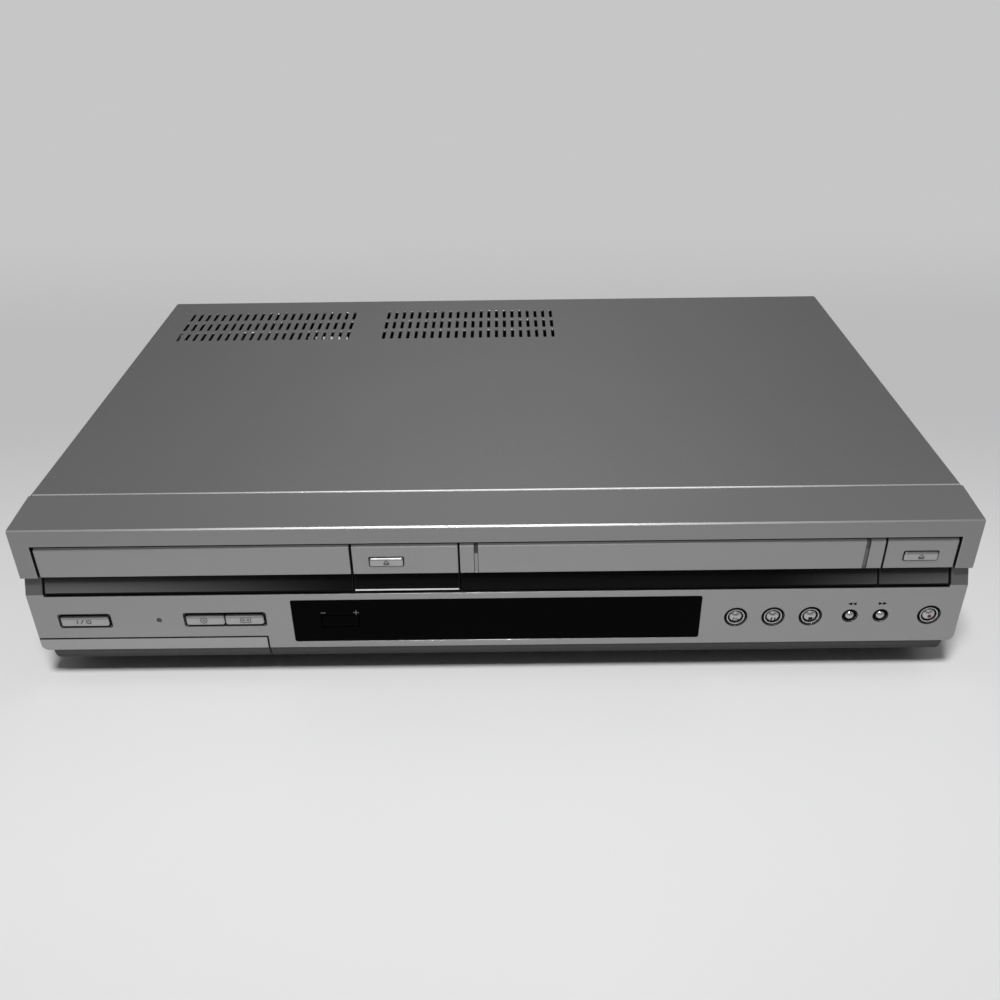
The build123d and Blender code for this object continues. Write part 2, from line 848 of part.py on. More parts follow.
with BuildPart() as indicator_lens:
    with Locations((lamp_x, back(board_depth - switch_height), key_row)):
        Cylinder(
            lamp_radius - shaft_play,
            board_depth - switch_height - lamp_recess,
            rotation=(90, 0, 0),
            align=(Align.CENTER, Align.CENTER, Align.MIN),
        )
    with Locations((lamp_x, back(fascia_wall), key_row)):
        Cylinder(
            2 * lamp_radius,
            lamp_collar,
            rotation=(-90, 0, 0),
            align=(Align.CENTER, Align.CENTER, Align.MIN),
        )
indicator_lens.part.label = "indicator_lens"
export_step(indicator_lens.part, "parts/indicator_lens.step")

with BuildPart() as display_tube:
    with Locations((display_x, back(board_depth), window_centre)):
        Box(
            display_length,
            display_thickness,
            window_height - 2 * window_flange,
            align=(Align.CENTER, Align.MAX, Align.CENTER),
        )
    fillet(display_tube.edges().filter_by(Axis.Y), 1.0)
display_tube.part.label = "display_tube"
export_step(display_tube.part, "parts/display_tube.step")


# ================================================================ keys
select_width = (select_right - select_left - 2 * button_play - select_split) / 2
oblong_keys = {
    "power_button": (power_x, key_row, power_size[0] - 2 * button_play, power_size[1] - 2 * button_play),
    "select_disc_button": (
        select_left + button_play + select_width / 2,
        key_row,
        select_width,
        select_height - 2 * button_play,
    ),
    "select_tape_button": (
        select_right - button_play - select_width / 2,
        key_row,
        select_width,
        select_height - 2 * button_play,
    ),
}
eject_keys = {"disc_eject_button": tray_eject_x, "tape_eject_button": cassette_eject_x}
eject_cap = (eject_size[0] - 2 * eject_play, eject_size[1] - 2 * eject_play)
stem_back = board_depth - switch_height - switch_plunger - button_travel - 0.1


def finish_key(key, name):
    """Label a key and write it."""
    key.part.label = name
    export_step(key.part, f"parts/{name}.step")


for name, (x, z, width, height) in oblong_keys.items():
    flange_shift = {"select_disc_button": -0.5, "select_tape_button": 0.5}.get(name, 0.0) * button_flange
    with BuildPart() as key:
        with BuildSketch(facing(fascia_wall + running_gap)):
            with Locations((x, z)):
                RectangleRounded(width, height, 1.2)
        extrude(amount=fascia_wall + running_gap + button_proud)
        chamfer(key.faces().sort_by(Axis.Y)[0].edges(), 0.5)
        with BuildSketch(facing(fascia_wall + running_gap + button_flange_sheet)):
            with Locations((x + flange_shift, z)):
                Rectangle(width + 2 * button_flange - 2 * abs(flange_shift), height + 2 * button_flange)
        extrude(amount=button_flange_sheet)
        with BuildSketch(facing(fascia_wall + running_gap)):
            with Locations((x, z)):
                Circle(button_stem)
        extrude(amount=fascia_wall + running_gap - stem_back)
    finish_key(key, name)

round_keys = [(name, x, large_hole_radius) for name, x in large_keys.items()]
round_keys += [(name, x, small_hole_radius) for name, x in small_keys.items()]
for name, x, hole_radius in round_keys:
    cap_radius = hole_radius - button_play
    flange = cap_radius + button_flange
    seat = fascia_wall + running_gap
    with BuildPart() as key:
        with BuildSketch(Plane.XY):
            with BuildLine():
                Polyline(
                    (cap_radius - 0.9, -button_proud + key_dome),
                    (cap_radius - 0.9, -button_proud + key_step),
                    (cap_radius, -button_proud + key_step + 0.3),
                    (cap_radius, seat),
                    (flange, seat),
                    (flange, seat + button_flange_sheet),
                    (button_stem, seat + button_flange_sheet),
                    (button_stem, stem_back),
                    (0, stem_back),
                    (0, -button_proud),
                )
                ThreePointArc(
                    (0, -button_proud),
                    ((cap_radius - 0.9) / 2, -button_proud + key_dome / 4),
                    (cap_radius - 0.9, -button_proud + key_dome),
                )
            make_face()
        revolve(axis=Axis.Y)
    placed = key.part.moved(Location((x, front_y, round_row)))
    with BuildPart() as key:
        add(placed)
    finish_key(key, name)

for name, x in eject_keys.items():
    seat = door_recess + door_wall + block_flange + running_gap
    with BuildPart() as key:
        with BuildSketch(facing(seat)):
            with Locations((x, eject_row)):
                RectangleRounded(*eject_cap, 0.8)
        extrude(amount=seat)
        chamfer(key.faces().sort_by(Axis.Y)[0].edges(), 0.4)
        with BuildSketch(facing(seat + button_flange_sheet)):
            with Locations((x, eject_row)):
                Rectangle(eject_size[0] + 2 * button_flange, eject_size[1] + 2 * button_flange)
        extrude(amount=button_flange_sheet)
    finish_key(key, name)

eject_stem_back = door_recess + door_wall + block_flange + running_gap + button_flange_sheet
switch_places = [(x, z) for x, z, width, height in oblong_keys.values()]
switch_places += [(x, round_row) for x in {**large_keys, **small_keys}.values()]
rocker_switches = [(rocker_x - rocker_size[0] / 3, rocker_z), (rocker_x + rocker_size[0] / 3, rocker_z)]
with BuildPart() as control_board:
    with BuildSketch(facing(board_depth + board_sheet)):
        with BuildLine():
            Polyline(
                (-board_half, niche_top + 3.4),
                (niche_right + 3.1, niche_top + 3.4),
                (niche_right + 3.1, board_low),
                (board_half, board_low),
                (board_half, eject_row + 7.0),
                (right_block_left + 4.0, eject_row + 7.0),
                (right_block_left + 4.0, board_high),
                (centre_block_right - 4.0, board_high),
                (centre_block_right - 4.0, eject_row + 7.0),
                (tray_front_right + 3.0, eject_row + 7.0),
                (tray_front_right + 3.0, board_high),
                (-board_half, board_high),
                close=True,
            )
        make_face()
    extrude(amount=board_sheet)
    # one push switch behind each key
    with BuildSketch(facing(board_depth)):
        with Locations(*switch_places, *[(x, eject_row) for x in eject_keys.values()]):
            Rectangle(switch_body, switch_body)
    extrude(amount=switch_height)
    with BuildSketch(facing(board_depth - switch_height)):
        with Locations(*switch_places):
            Circle(1.6)
    extrude(amount=switch_plunger)
    with BuildSketch(facing(board_depth)):
        with Locations(*rocker_switches):
            Rectangle(4.0, 4.0)
    extrude(amount=board_depth - rocker_back - rocker_clearance)
    with BuildSketch(facing(board_depth - switch_height)):
        with Locations(*[(x, eject_row) for x in eject_keys.values()]):
            Circle(1.6)
    extrude(amount=board_depth - switch_height - eject_stem_back - button_travel - 0.1)
control_board.part.label = "control_board"
export_step(control_board.part, "parts/control_board.step")


# ================================================================ disc tray and loader
def gear_outline(module, teeth, first_tooth):
    """Outline of a spur gear as points. first_tooth is the angle of a tooth's middle, in degrees."""
    pitch = module * teeth / 2
    base = pitch * math.cos(pressure_angle)
    root = pitch - 1.25 * module
    tip = pitch + module
    half_tooth = math.pi / (2 * teeth) - backlash / (4 * pitch)

    def flank(radius):
        """Half the tooth's angle at this radius."""
        roll = math.acos(min(1.0, base / radius))
        roll_pitch = math.acos(base / pitch)
        return half_tooth + (math.tan(roll_pitch) - roll_pitch) - (math.tan(roll) - roll)

    low = max(base, root)
    radii = [low + (tip - low) * step / 3 for step in range(4)]
    points = []
    for tooth in range(teeth):
        middle = math.radians(first_tooth) + tooth * 2 * math.pi / teeth
        rising = [(root, -flank(low))] + [(radius, -flank(radius)) for radius in radii]
        falling = [(radius, flank(radius)) for radius in reversed(radii)] + [(root, flank(low))]
        outline = rising + falling
        if root >= base:
            outline = outline[1:-1]
        for radius, angle in outline:
            points.append((radius * math.cos(middle + angle), radius * math.sin(middle + angle)))
    return points


tray_x = loader_x
rail_outer = tray_width / 2
gear_x = tray_x - rack_offset + rack_module * pinion_teeth / 2
pulley_x = gear_x + wheel_module * (wheel_teeth + pulley_pinion_teeth) / 2
motor_x = pulley_x + motor_offset
pinion_high = tray_seat - tray_floor - running_gap
wheel_low = pinion_high - 2 * gear_thickness - gear_collar
pulley_low = wheel_low - pulley_thickness - gear_collar
loader_floor_top = loader_floor_bottom + loader_floor

with BuildPart() as disc_tray:
    with Locations((tray_x, back(tray_start), tray_seat - tray_floor)):
        Box(
            tray_width,
            tray_length,
            tray_top - tray_seat + tray_floor,
            align=(Align.CENTER, Align.MIN, Align.MIN),
        )
    fillet(disc_tray.edges().filter_by(Axis.Z).group_by(Axis.Y)[-1], 6.0)
    rail_middle = rail_outer - tray_rail_width / 2
    with Locations(*[(tray_x + sign * rail_middle, back(tray_start)) for sign in (-1, 1)]):
        with Locations((0, 0, tray_top)):
            Box(
                tray_rail_width,
                tray_length - 8.0,
                tray_rail,
                align=(Align.CENTER, Align.MIN, Align.MAX),
            )
    # tongues that run in the loader's guides
    with Locations((tray_x, back(tray_start + 2.0), tongue_low)):
        Box(
            tray_width + 2 * tongue_reach,
            tray_length - 10.0,
            tongue_height,
            align=(Align.CENTER, Align.MIN, Align.MIN),
        )
    with Locations((tray_x, back(tray_start), tray_seat - tray_floor)):
        Box(
            tray_width - 2 * tray_rail_width,
            2 * tray_length,
            4 * tray_floor,
            align=(Align.CENTER, Align.CENTER, Align.MAX),
            mode=Mode.SUBTRACT,
        )
    # two round wells and the long slot
    with BuildSketch(Plane.XY.offset(tray_seat)):
        with Locations((tray_x, back(spindle_depth))):
            Circle(disc_well_radius)
    extrude(amount=tray_floor, mode=Mode.SUBTRACT)
    with BuildSketch(Plane.XY.offset(tray_seat - small_well_depth)):
        with Locations((tray_x, back(spindle_depth))):
            Circle(small_well_radius)
    extrude(amount=tray_floor, mode=Mode.SUBTRACT)
    with BuildSketch(Plane.XY.offset(tray_seat - 2 * tray_floor)):
        with Locations((tray_x, back(spindle_depth))):
            Circle(tray_slot_width / 2)
        with Locations((tray_x, back(spindle_depth))):
            Rectangle(tray_slot_width, 2 * tray_length, align=(Align.CENTER, Align.MIN))
    extrude(amount=4 * tray_floor, mode=Mode.SUBTRACT)
    # toothed rack along the left rail
    rack_low = pinion_high - gear_thickness - running_gap / 2
    rack_pitch = math.pi * rack_module
    rack_teeth = math.ceil(tray_travel / rack_pitch)
    rack_back = tray_x - rail_outer + tray_rail_width - 0.5
    rack_line = tray_x - rack_offset
    root_x = rack_line - 1.25 * rack_module
    half_pitch_tooth = rack_pitch / 4 - backlash / 4
    rack_points = [(rack_back, back(gear_depth) - 1.5 * rack_pitch)]
    for tooth in range(-1, rack_teeth - 1):
        middle = back(gear_depth) + tooth * rack_pitch
        rack_points += [
            (root_x, middle - half_pitch_tooth - 1.25 * rack_module * math.tan(pressure_angle)),
            (rack_line + rack_module, middle - half_pitch_tooth + rack_module * math.tan(pressure_angle)),
            (rack_line + rack_module, middle + half_pitch_tooth - rack_module * math.tan(pressure_angle)),
            (root_x, middle + half_pitch_tooth + 1.25 * rack_module * math.tan(pressure_angle)),
        ]
    rack_points.append((rack_back, back(gear_depth) + (rack_teeth - 1.5) * rack_pitch))
    with BuildSketch(Plane.XY.offset(rack_low)):
        with BuildLine():
            Polyline(*rack_points, close=True)
        make_face()
    extrude(amount=tray_seat - tray_floor - rack_low + 0.5)
disc_tray.part.label = "disc_tray"
export_step(disc_tray.part, "parts/disc_tray.step")

with BuildPart() as loader_frame:
    with Locations((loader_x, back(loader_front), loader_floor_bottom)):
        Box(
            2 * loader_half,
            loader_back - loader_front,
            loader_top - loader_floor_bottom,
            align=(Align.CENTER, Align.MIN, Align.MIN),
        )
    with Locations((loader_x, back(loader_front), loader_floor_top)):
        Box(
            2 * (loader_half - loader_wall),
            2 * (loader_back - loader_front - loader_wall),
            loader_top,
            align=(Align.CENTER, Align.CENTER, Align.MIN),
            mode=Mode.SUBTRACT,
        )
    # guides above and below the tray's tongues
    guide_reach = loader_half - loader_wall - rail_outer - running_gap
    for sign in (-1, 1):
        guide_lows = (tongue_low - running_gap - guide_height, tongue_low + tongue_height + running_gap)
        for guide_low in guide_lows:
            with Locations((loader_x + sign * (loader_half - loader_wall), back(loader_front), guide_low)):
                Box(
                    guide_reach,
                    tray_start + tray_length - loader_front,
                    guide_height,
                    align=(Align.MIN if sign < 0 else Align.MAX, Align.MIN, Align.MIN),
                )
    # opening under the pickup unit, hole for the motor's shaft
    with Locations((loader_x, back(unit_front - 4.0), 0)):
        Box(
            2 * (unit_half_width + 4.0),
            unit_back - unit_front + 8.0,
            loader_floor_top + 1.0,
            align=(Align.CENTER, Align.MIN, Align.MIN),
            mode=Mode.SUBTRACT,
        )
    with BuildSketch(Plane.XY.offset(loader_floor_bottom)):
        with Locations((motor_x, back(gear_depth))):
            Circle(motor_pulley_radius + 1.5)
    extrude(amount=loader_floor, mode=Mode.SUBTRACT)
    # seats and pins for the two gears
    for pin_x, seat_high, pin_high in (
        (gear_x, wheel_low - running_gap, pinion_high - running_gap),
        (pulley_x, pulley_low - running_gap, wheel_low + gear_thickness),
    ):
        with BuildSketch(Plane.XY.offset(loader_floor_top)):
            with Locations((pin_x, back(gear_depth))):
                Circle(2 * gear_pin_radius)
        extrude(amount=seat_high - loader_floor_top)
        with BuildSketch(Plane.XY.offset(loader_floor_top)):
            with Locations((pin_x, back(gear_depth))):
                Circle(gear_pin_radius)
        extrude(amount=pin_high - loader_floor_top)
    # ears for the pickup unit's pivot
    for ear_x in (-unit_half_width - 4.0 - unit_ear, unit_half_width + 4.0):
        with BuildSketch(side(loader_x + ear_x)):
            with Locations((back(unit_pivot_depth), loader_floor_top - 0.5)):
                Rectangle(12.0, unit_pivot_height - loader_floor_top + 0.5, align=(Align.CENTER, Align.MIN))
            with Locations((back(unit_pivot_depth), unit_pivot_height)):
                Circle(6.0)
                Circle(unit_pivot_radius + shaft_play, mode=Mode.SUBTRACT)
        extrude(amount=unit_ear)
    # legs
    leg_places = [
        (loader_x + sign * (loader_half - 2 * loader_leg_radius), back(depth))
        for sign in (-1, 1)
        for depth in (loader_front + 20.0, loader_back - 14.0)
    ]
    with BuildSketch(Plane.XY.offset(chassis_top)):
        with Locations(*leg_places):
            Circle(loader_leg_radius)
    extrude(amount=loader_floor_bottom - chassis_top)
loader_frame.part.label = "loader_frame"
export_step(loader_frame.part, "parts/loader_frame.step")

with BuildPart() as clamp_bridge:
    with Locations((loader_x, back(spindle_depth), loader_top)):
        Box(2 * loader_half, bridge_depth, bridge_sheet, align=(Align.CENTER, Align.CENTER, Align.MIN))
    for sign in (-1, 1):
        bridge_leg = (bridge_depth - bridge_sheet) / 2
        with Locations((loader_x, back(spindle_depth) + sign * bridge_leg, loader_top)):
            Box(
                2 * loader_half,
                bridge_sheet,
                bridge_rib,
                align=(Align.CENTER, Align.CENTER, Align.MIN),
            )
    with Locations((loader_x, back(spindle_depth), loader_top)):
        Cylinder(clamper_neck + 0.6, 4 * bridge_sheet, mode=Mode.SUBTRACT)
clamp_bridge.part.label = "clamp_bridge"
export_step(clamp_bridge.part, "parts/clamp_bridge.step")

with BuildPart() as clamper:
    with BuildSketch(Plane.XY.offset(loader_top - running_gap - clamper_sheet)):
        with Locations((loader_x, back(spindle_depth))):
            Circle(clamper_radius)
    extrude(amount=clamper_sheet)
    with BuildSketch(Plane.XY.offset(loader_top - running_gap)):
        with Locations((loader_x, back(spindle_depth))):
            Circle(clamper_neck)
    extrude(amount=bridge_sheet + 2 * running_gap)
    with BuildSketch(Plane.XY.offset(loader_top + bridge_sheet + running_gap)):
        with Locations((loader_x, back(spindle_depth))):
            Circle(clamper_radius)
    extrude(amount=clamper_sheet)
    with BuildSketch(Plane.XY.offset(loader_top - running_gap - clamper_sheet)):
        with Locations((loader_x, back(spindle_depth))):
            Circle(3 * spindle_radius)
    extrude(amount=clamper_sheet + bridge_sheet, mode=Mode.SUBTRACT)
clamper.part.label = "clamper"
export_step(clamper.part, "parts/clamper.step")

with BuildPart() as tray_gear:
    with BuildSketch(Plane.XY.offset(wheel_low)):
        with Locations((gear_x, back(gear_depth))):
            Polygon(*gear_outline(wheel_module, wheel_teeth, 0), align=None)
    extrude(amount=gear_thickness)
    with BuildSketch(Plane.XY.offset(wheel_low + gear_thickness)):
        with Locations((gear_x, back(gear_depth))):
            Circle(3.5 * gear_pin_radius)
    extrude(amount=gear_collar)
    with BuildSketch(Plane.XY.offset(pinion_high - gear_thickness)):
        with Locations((gear_x, back(gear_depth))):
            Polygon(*gear_outline(rack_module, pinion_teeth, 180 + 180 / pinion_teeth), align=None)
    extrude(amount=gear_thickness)
    with BuildSketch(Plane.XY.offset(wheel_low)):
        with Locations((gear_x, back(gear_depth))):
            Circle(gear_pin_radius + shaft_play)
    extrude(amount=3 * gear_thickness, mode=Mode.SUBTRACT)
tray_gear.part.label = "tray_gear"
export_step(tray_gear.part, "parts/tray_gear.step")


def groove_pulley(centre_x, groove_radius):
    """A small belt pulley: two flanges and a groove between them."""
    with BuildPart() as wheel:
        for low, high, radius in (
            (0, pulley_flange, groove_radius + belt_thickness + 0.4),
            (pulley_flange, pulley_thickness - pulley_flange, groove_radius),
            (pulley_thickness - pulley_flange, pulley_thickness, groove_radius + belt_thickness + 0.4),
        ):
            with BuildSketch(Plane.XY.offset(pulley_low + low)):
                with Locations((centre_x, back(gear_depth))):
                    Circle(radius)
            extrude(amount=high - low)
    return wheel.part


with BuildPart() as pulley_gear:
    add(groove_pulley(pulley_x, pulley_radius))
    with BuildSketch(Plane.XY.offset(pulley_low + pulley_thickness)):
        with Locations((pulley_x, back(gear_depth))):
            Polygon(
                *gear_outline(wheel_module, pulley_pinion_teeth, 180 + 180 / pulley_pinion_teeth),
                align=None,
            )
    extrude(amount=gear_collar + gear_thickness)
    with BuildSketch(Plane.XY.offset(pulley_low)):
        with Locations((pulley_x, back(gear_depth))):
            Circle(gear_pin_radius + shaft_play)
    extrude(amount=4 * gear_thickness, mode=Mode.SUBTRACT)
pulley_gear.part.label = "pulley_gear"
export_step(pulley_gear.part, "parts/pulley_gear.step")

with BuildPart() as drive_belt:
    for extra, mode in ((belt_thickness, Mode.ADD), (shaft_play, Mode.SUBTRACT)):
        with BuildSketch(Plane.XY.offset(pulley_low + pulley_flange + belt_play)):
            with Locations((pulley_x, back(gear_depth))):
                Circle(pulley_radius + extra)
            with Locations((motor_x, back(gear_depth))):
                Circle(motor_pulley_radius + extra)
            make_hull()
        extrude(amount=pulley_thickness - 2 * pulley_flange - 2 * belt_play, mode=mode)
drive_belt.part.label = "drive_belt"
export_step(drive_belt.part, "parts/drive_belt.step")

with BuildPart() as tray_motor:
    with Locations((motor_x, back(gear_depth), loader_floor_bottom)):
        Cylinder(motor_radius, motor_height, align=(Align.CENTER, Align.CENTER, Align.MAX))
        Cylinder(1.0, pulley_low - loader_floor_bottom + 1.0, align=(Align.CENTER, Align.CENTER, Align.MIN))
    add(groove_pulley(motor_x, motor_pulley_radius))
tray_motor.part.label = "tray_motor"
export_step(tray_motor.part, "parts/tray_motor.step")


# ================================================================ pickup unit
unit_top = unit_bottom + unit_sheet
rod_height = unit_top + rod_rise
pickup_half = rod_spread + 3.0
with BuildPart() as traverse_chassis:
    with Locations((loader_x, back(unit_front), unit_bottom)):
        Box(
            2 * unit_half_width,
            unit_back - unit_front,
            unit_sheet,
            align=(Align.CENTER, Align.MIN, Align.MIN),
        )
    fillet(traverse_chassis.edges().filter_by(Axis.Z), 4.0)
    with Locations((loader_x, back(pickup_start - 3.0), unit_bottom)):
        Box(
            2 * (rod_spread - 2.0),
            pickup_length + pickup_travel + 6.0,
            4 * unit_sheet,
            align=(Align.CENTER, Align.MIN, Align.CENTER),
            mode=Mode.SUBTRACT,
        )
    # bosses that hold both ends of the two guide rods
    rod_front = pickup_start - 3.0
    rod_back = pickup_start + pickup_length + pickup_travel + 3.0
    boss_places = [(sign * rod_spread, depth) for sign in (-1, 1) for depth in (rod_front - 4.0, rod_back)]
    for boss_x, depth in boss_places:
        with Locations((loader_x + boss_x, back(depth), unit_top)):
            Box(8.0, 4.0, rod_rise + rod_radius + rod_cover, align=(Align.CENTER, Align.MIN, Align.MIN))
    with BuildSketch(facing(rod_back + 4.0)):
        with Locations(*[(loader_x + sign * rod_spread, rod_height) for sign in (-1, 1)]):
            Circle(rod_radius)
    extrude(amount=rod_back - rod_front + 8.0, mode=Mode.SUBTRACT)
    # disc motor
    with Locations((loader_x, back(spindle_depth), unit_top)):
        Cylinder(
            spindle_motor_radius,
            spindle_motor_height,
            align=(Align.CENTER, Align.CENTER, Align.MIN),
        )
        Cylinder(
            spindle_radius + shaft_play,
            spindle_motor_height,
            align=(Align.CENTER, Align.CENTER, Align.MIN),
            mode=Mode.SUBTRACT,
        )
    # pivot pins
    with BuildSketch(side(loader_x - unit_half_width - 4.0 - unit_ear)):
        with Locations((back(unit_pivot_depth), unit_pivot_height)):
            Circle(unit_pivot_radius)
    extrude(amount=2 * (unit_half_width + 4.0 + unit_ear))
traverse_chassis.part.label = "traverse_chassis"
export_step(traverse_chassis.part, "parts/traverse_chassis.step")

with BuildPart() as guide_rods:
    with BuildSketch(facing(rod_back + 4.0)):
        with Locations(*[(loader_x + sign * rod_spread, rod_height) for sign in (-1, 1)]):
            Circle(rod_radius)
    extrude(amount=rod_back - rod_front + 8.0)
guide_rods.part.label = "guide_rods"
export_step(guide_rods.part, "parts/guide_rods.step")

with BuildPart() as pickup:
    with Locations((loader_x, back(pickup_start), unit_bottom - 4.0)):
        Box(
            2 * (rod_spread - 3.0),
            pickup_length,
            rod_height + 2.6 - unit_bottom + 4.0,
            align=(Align.CENTER, Align.MIN, Align.MIN),
        )
    with Locations((loader_x, back(pickup_start), unit_top + running_gap)):
        Box(
            2 * pickup_half,
            pickup_length,
            rod_height + 2.6 - unit_top - running_gap,
            align=(Align.CENTER, Align.MIN, Align.MIN),
        )
    with BuildSketch(facing(pickup_start + pickup_length)):
        with Locations(*[(loader_x + sign * rod_spread, rod_height) for sign in (-1, 1)]):
            Circle(rod_radius + shaft_play)
    extrude(amount=pickup_length, mode=Mode.SUBTRACT)
    with Locations((loader_x, back(pickup_start + 5.5), rod_height + 2.6)):
        Cylinder(4.0, 1.4, align=(Align.CENTER, Align.CENTER, Align.MIN))
pickup.part.label = "pickup"
export_step(pickup.part, "parts/pickup.step")

turntable_low = unit_top + spindle_motor_height + running_gap
with BuildPart() as turntable:
    with Locations((loader_x, back(spindle_depth), turntable_low)):
        Cylinder(
            turntable_radius,
            tray_seat + 0.5 - turntable_low,
            align=(Align.CENTER, Align.CENTER, Align.MIN),
        )
    with Locations((loader_x, back(spindle_depth), tray_seat + 0.5)):
        Cone(7.3, 6.2, 1.5, align=(Align.CENTER, Align.CENTER, Align.MIN))
    with Locations((loader_x, back(spindle_depth), turntable_low)):
        Cylinder(
            spindle_radius,
            spindle_motor_height,
            align=(Align.CENTER, Align.CENTER, Align.MAX),
        )
turntable.part.label = "turntable"
export_step(turntable.part, "parts/turntable.step")


# ================================================================ cassette works
def deck(across):
    """The X of something this far to the right of the cassette's middle line."""
    return deck_x + across


holder_outer = holder_half + holder_sheet
slider_inner = holder_outer + running_gap
slider_outer = slider_inner + slider_sheet
bracket_inner = slider_outer + running_gap
holder_high = cassette_floor + cassette_height + cassette_play
holder_back = holder_front + holder_length
bar_low = holder_high + holder_sheet + 3 * running_gap
bracket_top = bar_low + slider_sheet + 1.2
pinch_pivot = (76.0, 150.0)
pinch_reach = pinch_radius + capstan_radius + pinch_gap
pinch_side = complex(math.cos(math.pi / 4), math.sin(math.pi / 4))
pressed = complex(capstan_x, capstan_depth) + pinch_reach * pinch_side
arm = (pressed - complex(*pinch_pivot)) * complex(
    math.cos(math.radians(pinch_swing)), -math.sin(math.radians(pinch_swing))
)
pinch_rest = (pinch_pivot[0] + arm.real, pinch_pivot[1] + arm.imag)

with BuildPart() as deck_plate:
    with Locations((deck_x, back(deck_front), deck_top)):
        Box(
            2 * deck_half_width,
            deck_back - deck_front,
            deck_sheet,
            align=(Align.CENTER, Align.MIN, Align.MAX),
        )
    fillet(deck_plate.edges().filter_by(Axis.Z), 3.0)
    # posts for the two reels, and the pinch arm's pin
    for pin_x, pin_depth, pin_radius, pin_high in (
        (-reel_spacing / 2, reel_depth, reel_pin_radius, reel_high),
        (reel_spacing / 2, reel_depth, reel_pin_radius, reel_high),
        (pinch_pivot[0], pinch_pivot[1], reel_pin_radius, pinch_arm_high + pinch_arm_sheet),
    ):
        with BuildSketch(Plane.XY.offset(deck_top)):
            with Locations((deck(pin_x), back(pin_depth))):
                Circle(pin_radius)
        extrude(amount=pin_high - deck_top)
    with BuildSketch(Plane.XY.offset(deck_top)):
        with Locations((deck(pinch_pivot[0]), back(pinch_pivot[1]))):
            Circle(2 * reel_pin_radius)
    extrude(amount=pinch_arm_high - running_gap - deck_top)
    # bearing for the capstan
    with BuildSketch(Plane.XY.offset(deck_top)):
        with Locations((deck(capstan_x), back(capstan_depth))):
            Circle(3 * capstan_radius)
    extrude(amount=capstan_bearing)
    with BuildSketch(Plane.XY.offset(deck_top - deck_sheet)):
        with Locations((deck(capstan_x), back(capstan_depth))):
            Circle(capstan_radius + shaft_play)
        with Locations(*[(deck(sign * guide_x), back(guide_start + guide_travel / 2)) for sign in (-1, 1)]):
            Rectangle(guide_slot, guide_travel + guide_slot + 1.0)
    extrude(amount=deck_sheet + capstan_bearing, mode=Mode.SUBTRACT)
    # legs
    deck_legs = [
        (deck(sign * (deck_half_width - 6.0)), back(depth))
        for sign in (-1, 1)
        for depth in (deck_front + 8.0, (deck_front + deck_back) / 2, deck_back - 8.0)
    ]
    with BuildSketch(Plane.XY.offset(chassis_top)):
        with Locations(*deck_legs):
            Circle(loader_leg_radius)
    extrude(amount=deck_top - deck_sheet - chassis_top)
deck_plate.part.label = "deck_plate"
export_step(deck_plate.part, "parts/deck_plate.step")

runner_low = slider_bottom + 4.0
slot_front = holder_front + 6.0
slot_back = holder_back - 6.0 + carriage_travel
with BuildPart() as carriage_frame:
    for sign in (-1, 1):
        wall_x = deck(sign * bracket_inner) - (bracket_sheet if sign < 0 else 0)
        with BuildSketch(side(wall_x)):
            with Locations((back(bracket_front), deck_top)):
                bracket_height = bracket_top - deck_top
                Rectangle(bracket_back - bracket_front, bracket_height, align=(Align.MIN, Align.MIN))
            with Locations((back((slot_front + slot_back) / 2), runner_low)):
                slot_length = slot_back - slot_front + 2 * running_gap
                SlotOverall(slot_length, 2 * (runner_radius + 0.1), mode=Mode.SUBTRACT)
            with Locations((back((bracket_front + bracket_back) / 2), deck_top + 12.0)):
                SlotOverall(bracket_back - bracket_front - 24.0, 8.0, mode=Mode.SUBTRACT)
        extrude(amount=bracket_sheet)
        # foot that lies on the deck
        with Locations((deck(sign * bracket_inner), back(bracket_front), deck_top)):
            Box(
                bracket_foot,
                bracket_back - bracket_front,
                bracket_sheet,
                align=(Align.MIN if sign > 0 else Align.MAX, Align.MIN, Align.MIN),
            )
    with Locations((deck_x, back(bracket_bar_depth), bracket_top)):
        Box(
            2 * (bracket_inner + bracket_sheet),
            bracket_bar,
            bracket_sheet,
            align=(Align.CENTER, Align.MIN, Align.MAX),
        )
carriage_frame.part.label = "carriage_frame"
export_step(carriage_frame.part, "parts/carriage_frame.step")

pin_high = holder_high - 7.0
with BuildPart() as carriage_slider:
    for sign in (-1, 1):
        wall_x = deck(sign * slider_inner) - (slider_sheet if sign < 0 else 0)
        with BuildSketch(side(wall_x)):
            with Locations((back(holder_front), slider_bottom)):
                Rectangle(holder_length, bar_low - slider_bottom, align=(Align.MIN, Align.MIN))
            with Locations(*[(back(depth), pin_high - holder_drop / 2) for depth in holder_pins]):
                SlotOverall(
                    holder_drop + 2 * (holder_pin_radius + 0.1),
                    2 * (holder_pin_radius + 0.1),
                    rotation=90,
                    mode=Mode.SUBTRACT,
                )
        extrude(amount=slider_sheet)
        # runners that slide in the frame's long slots
        with BuildSketch(side(deck(sign * slider_outer) - (runner_length if sign < 0 else 0))):
            with Locations(*[(back(depth), runner_low) for depth in runner_depths]):
                Circle(runner_radius)
        extrude(amount=runner_length)
    with Locations((deck_x, back(holder_front + 8.0), bar_low)):
        Box(
            2 * slider_outer,
            holder_length - 16.0,
            slider_sheet,
            align=(Align.CENTER, Align.MIN, Align.MIN),
        )
carriage_slider.part.label = "carriage_slider"
export_step(carriage_slider.part, "parts/carriage_slider.step")

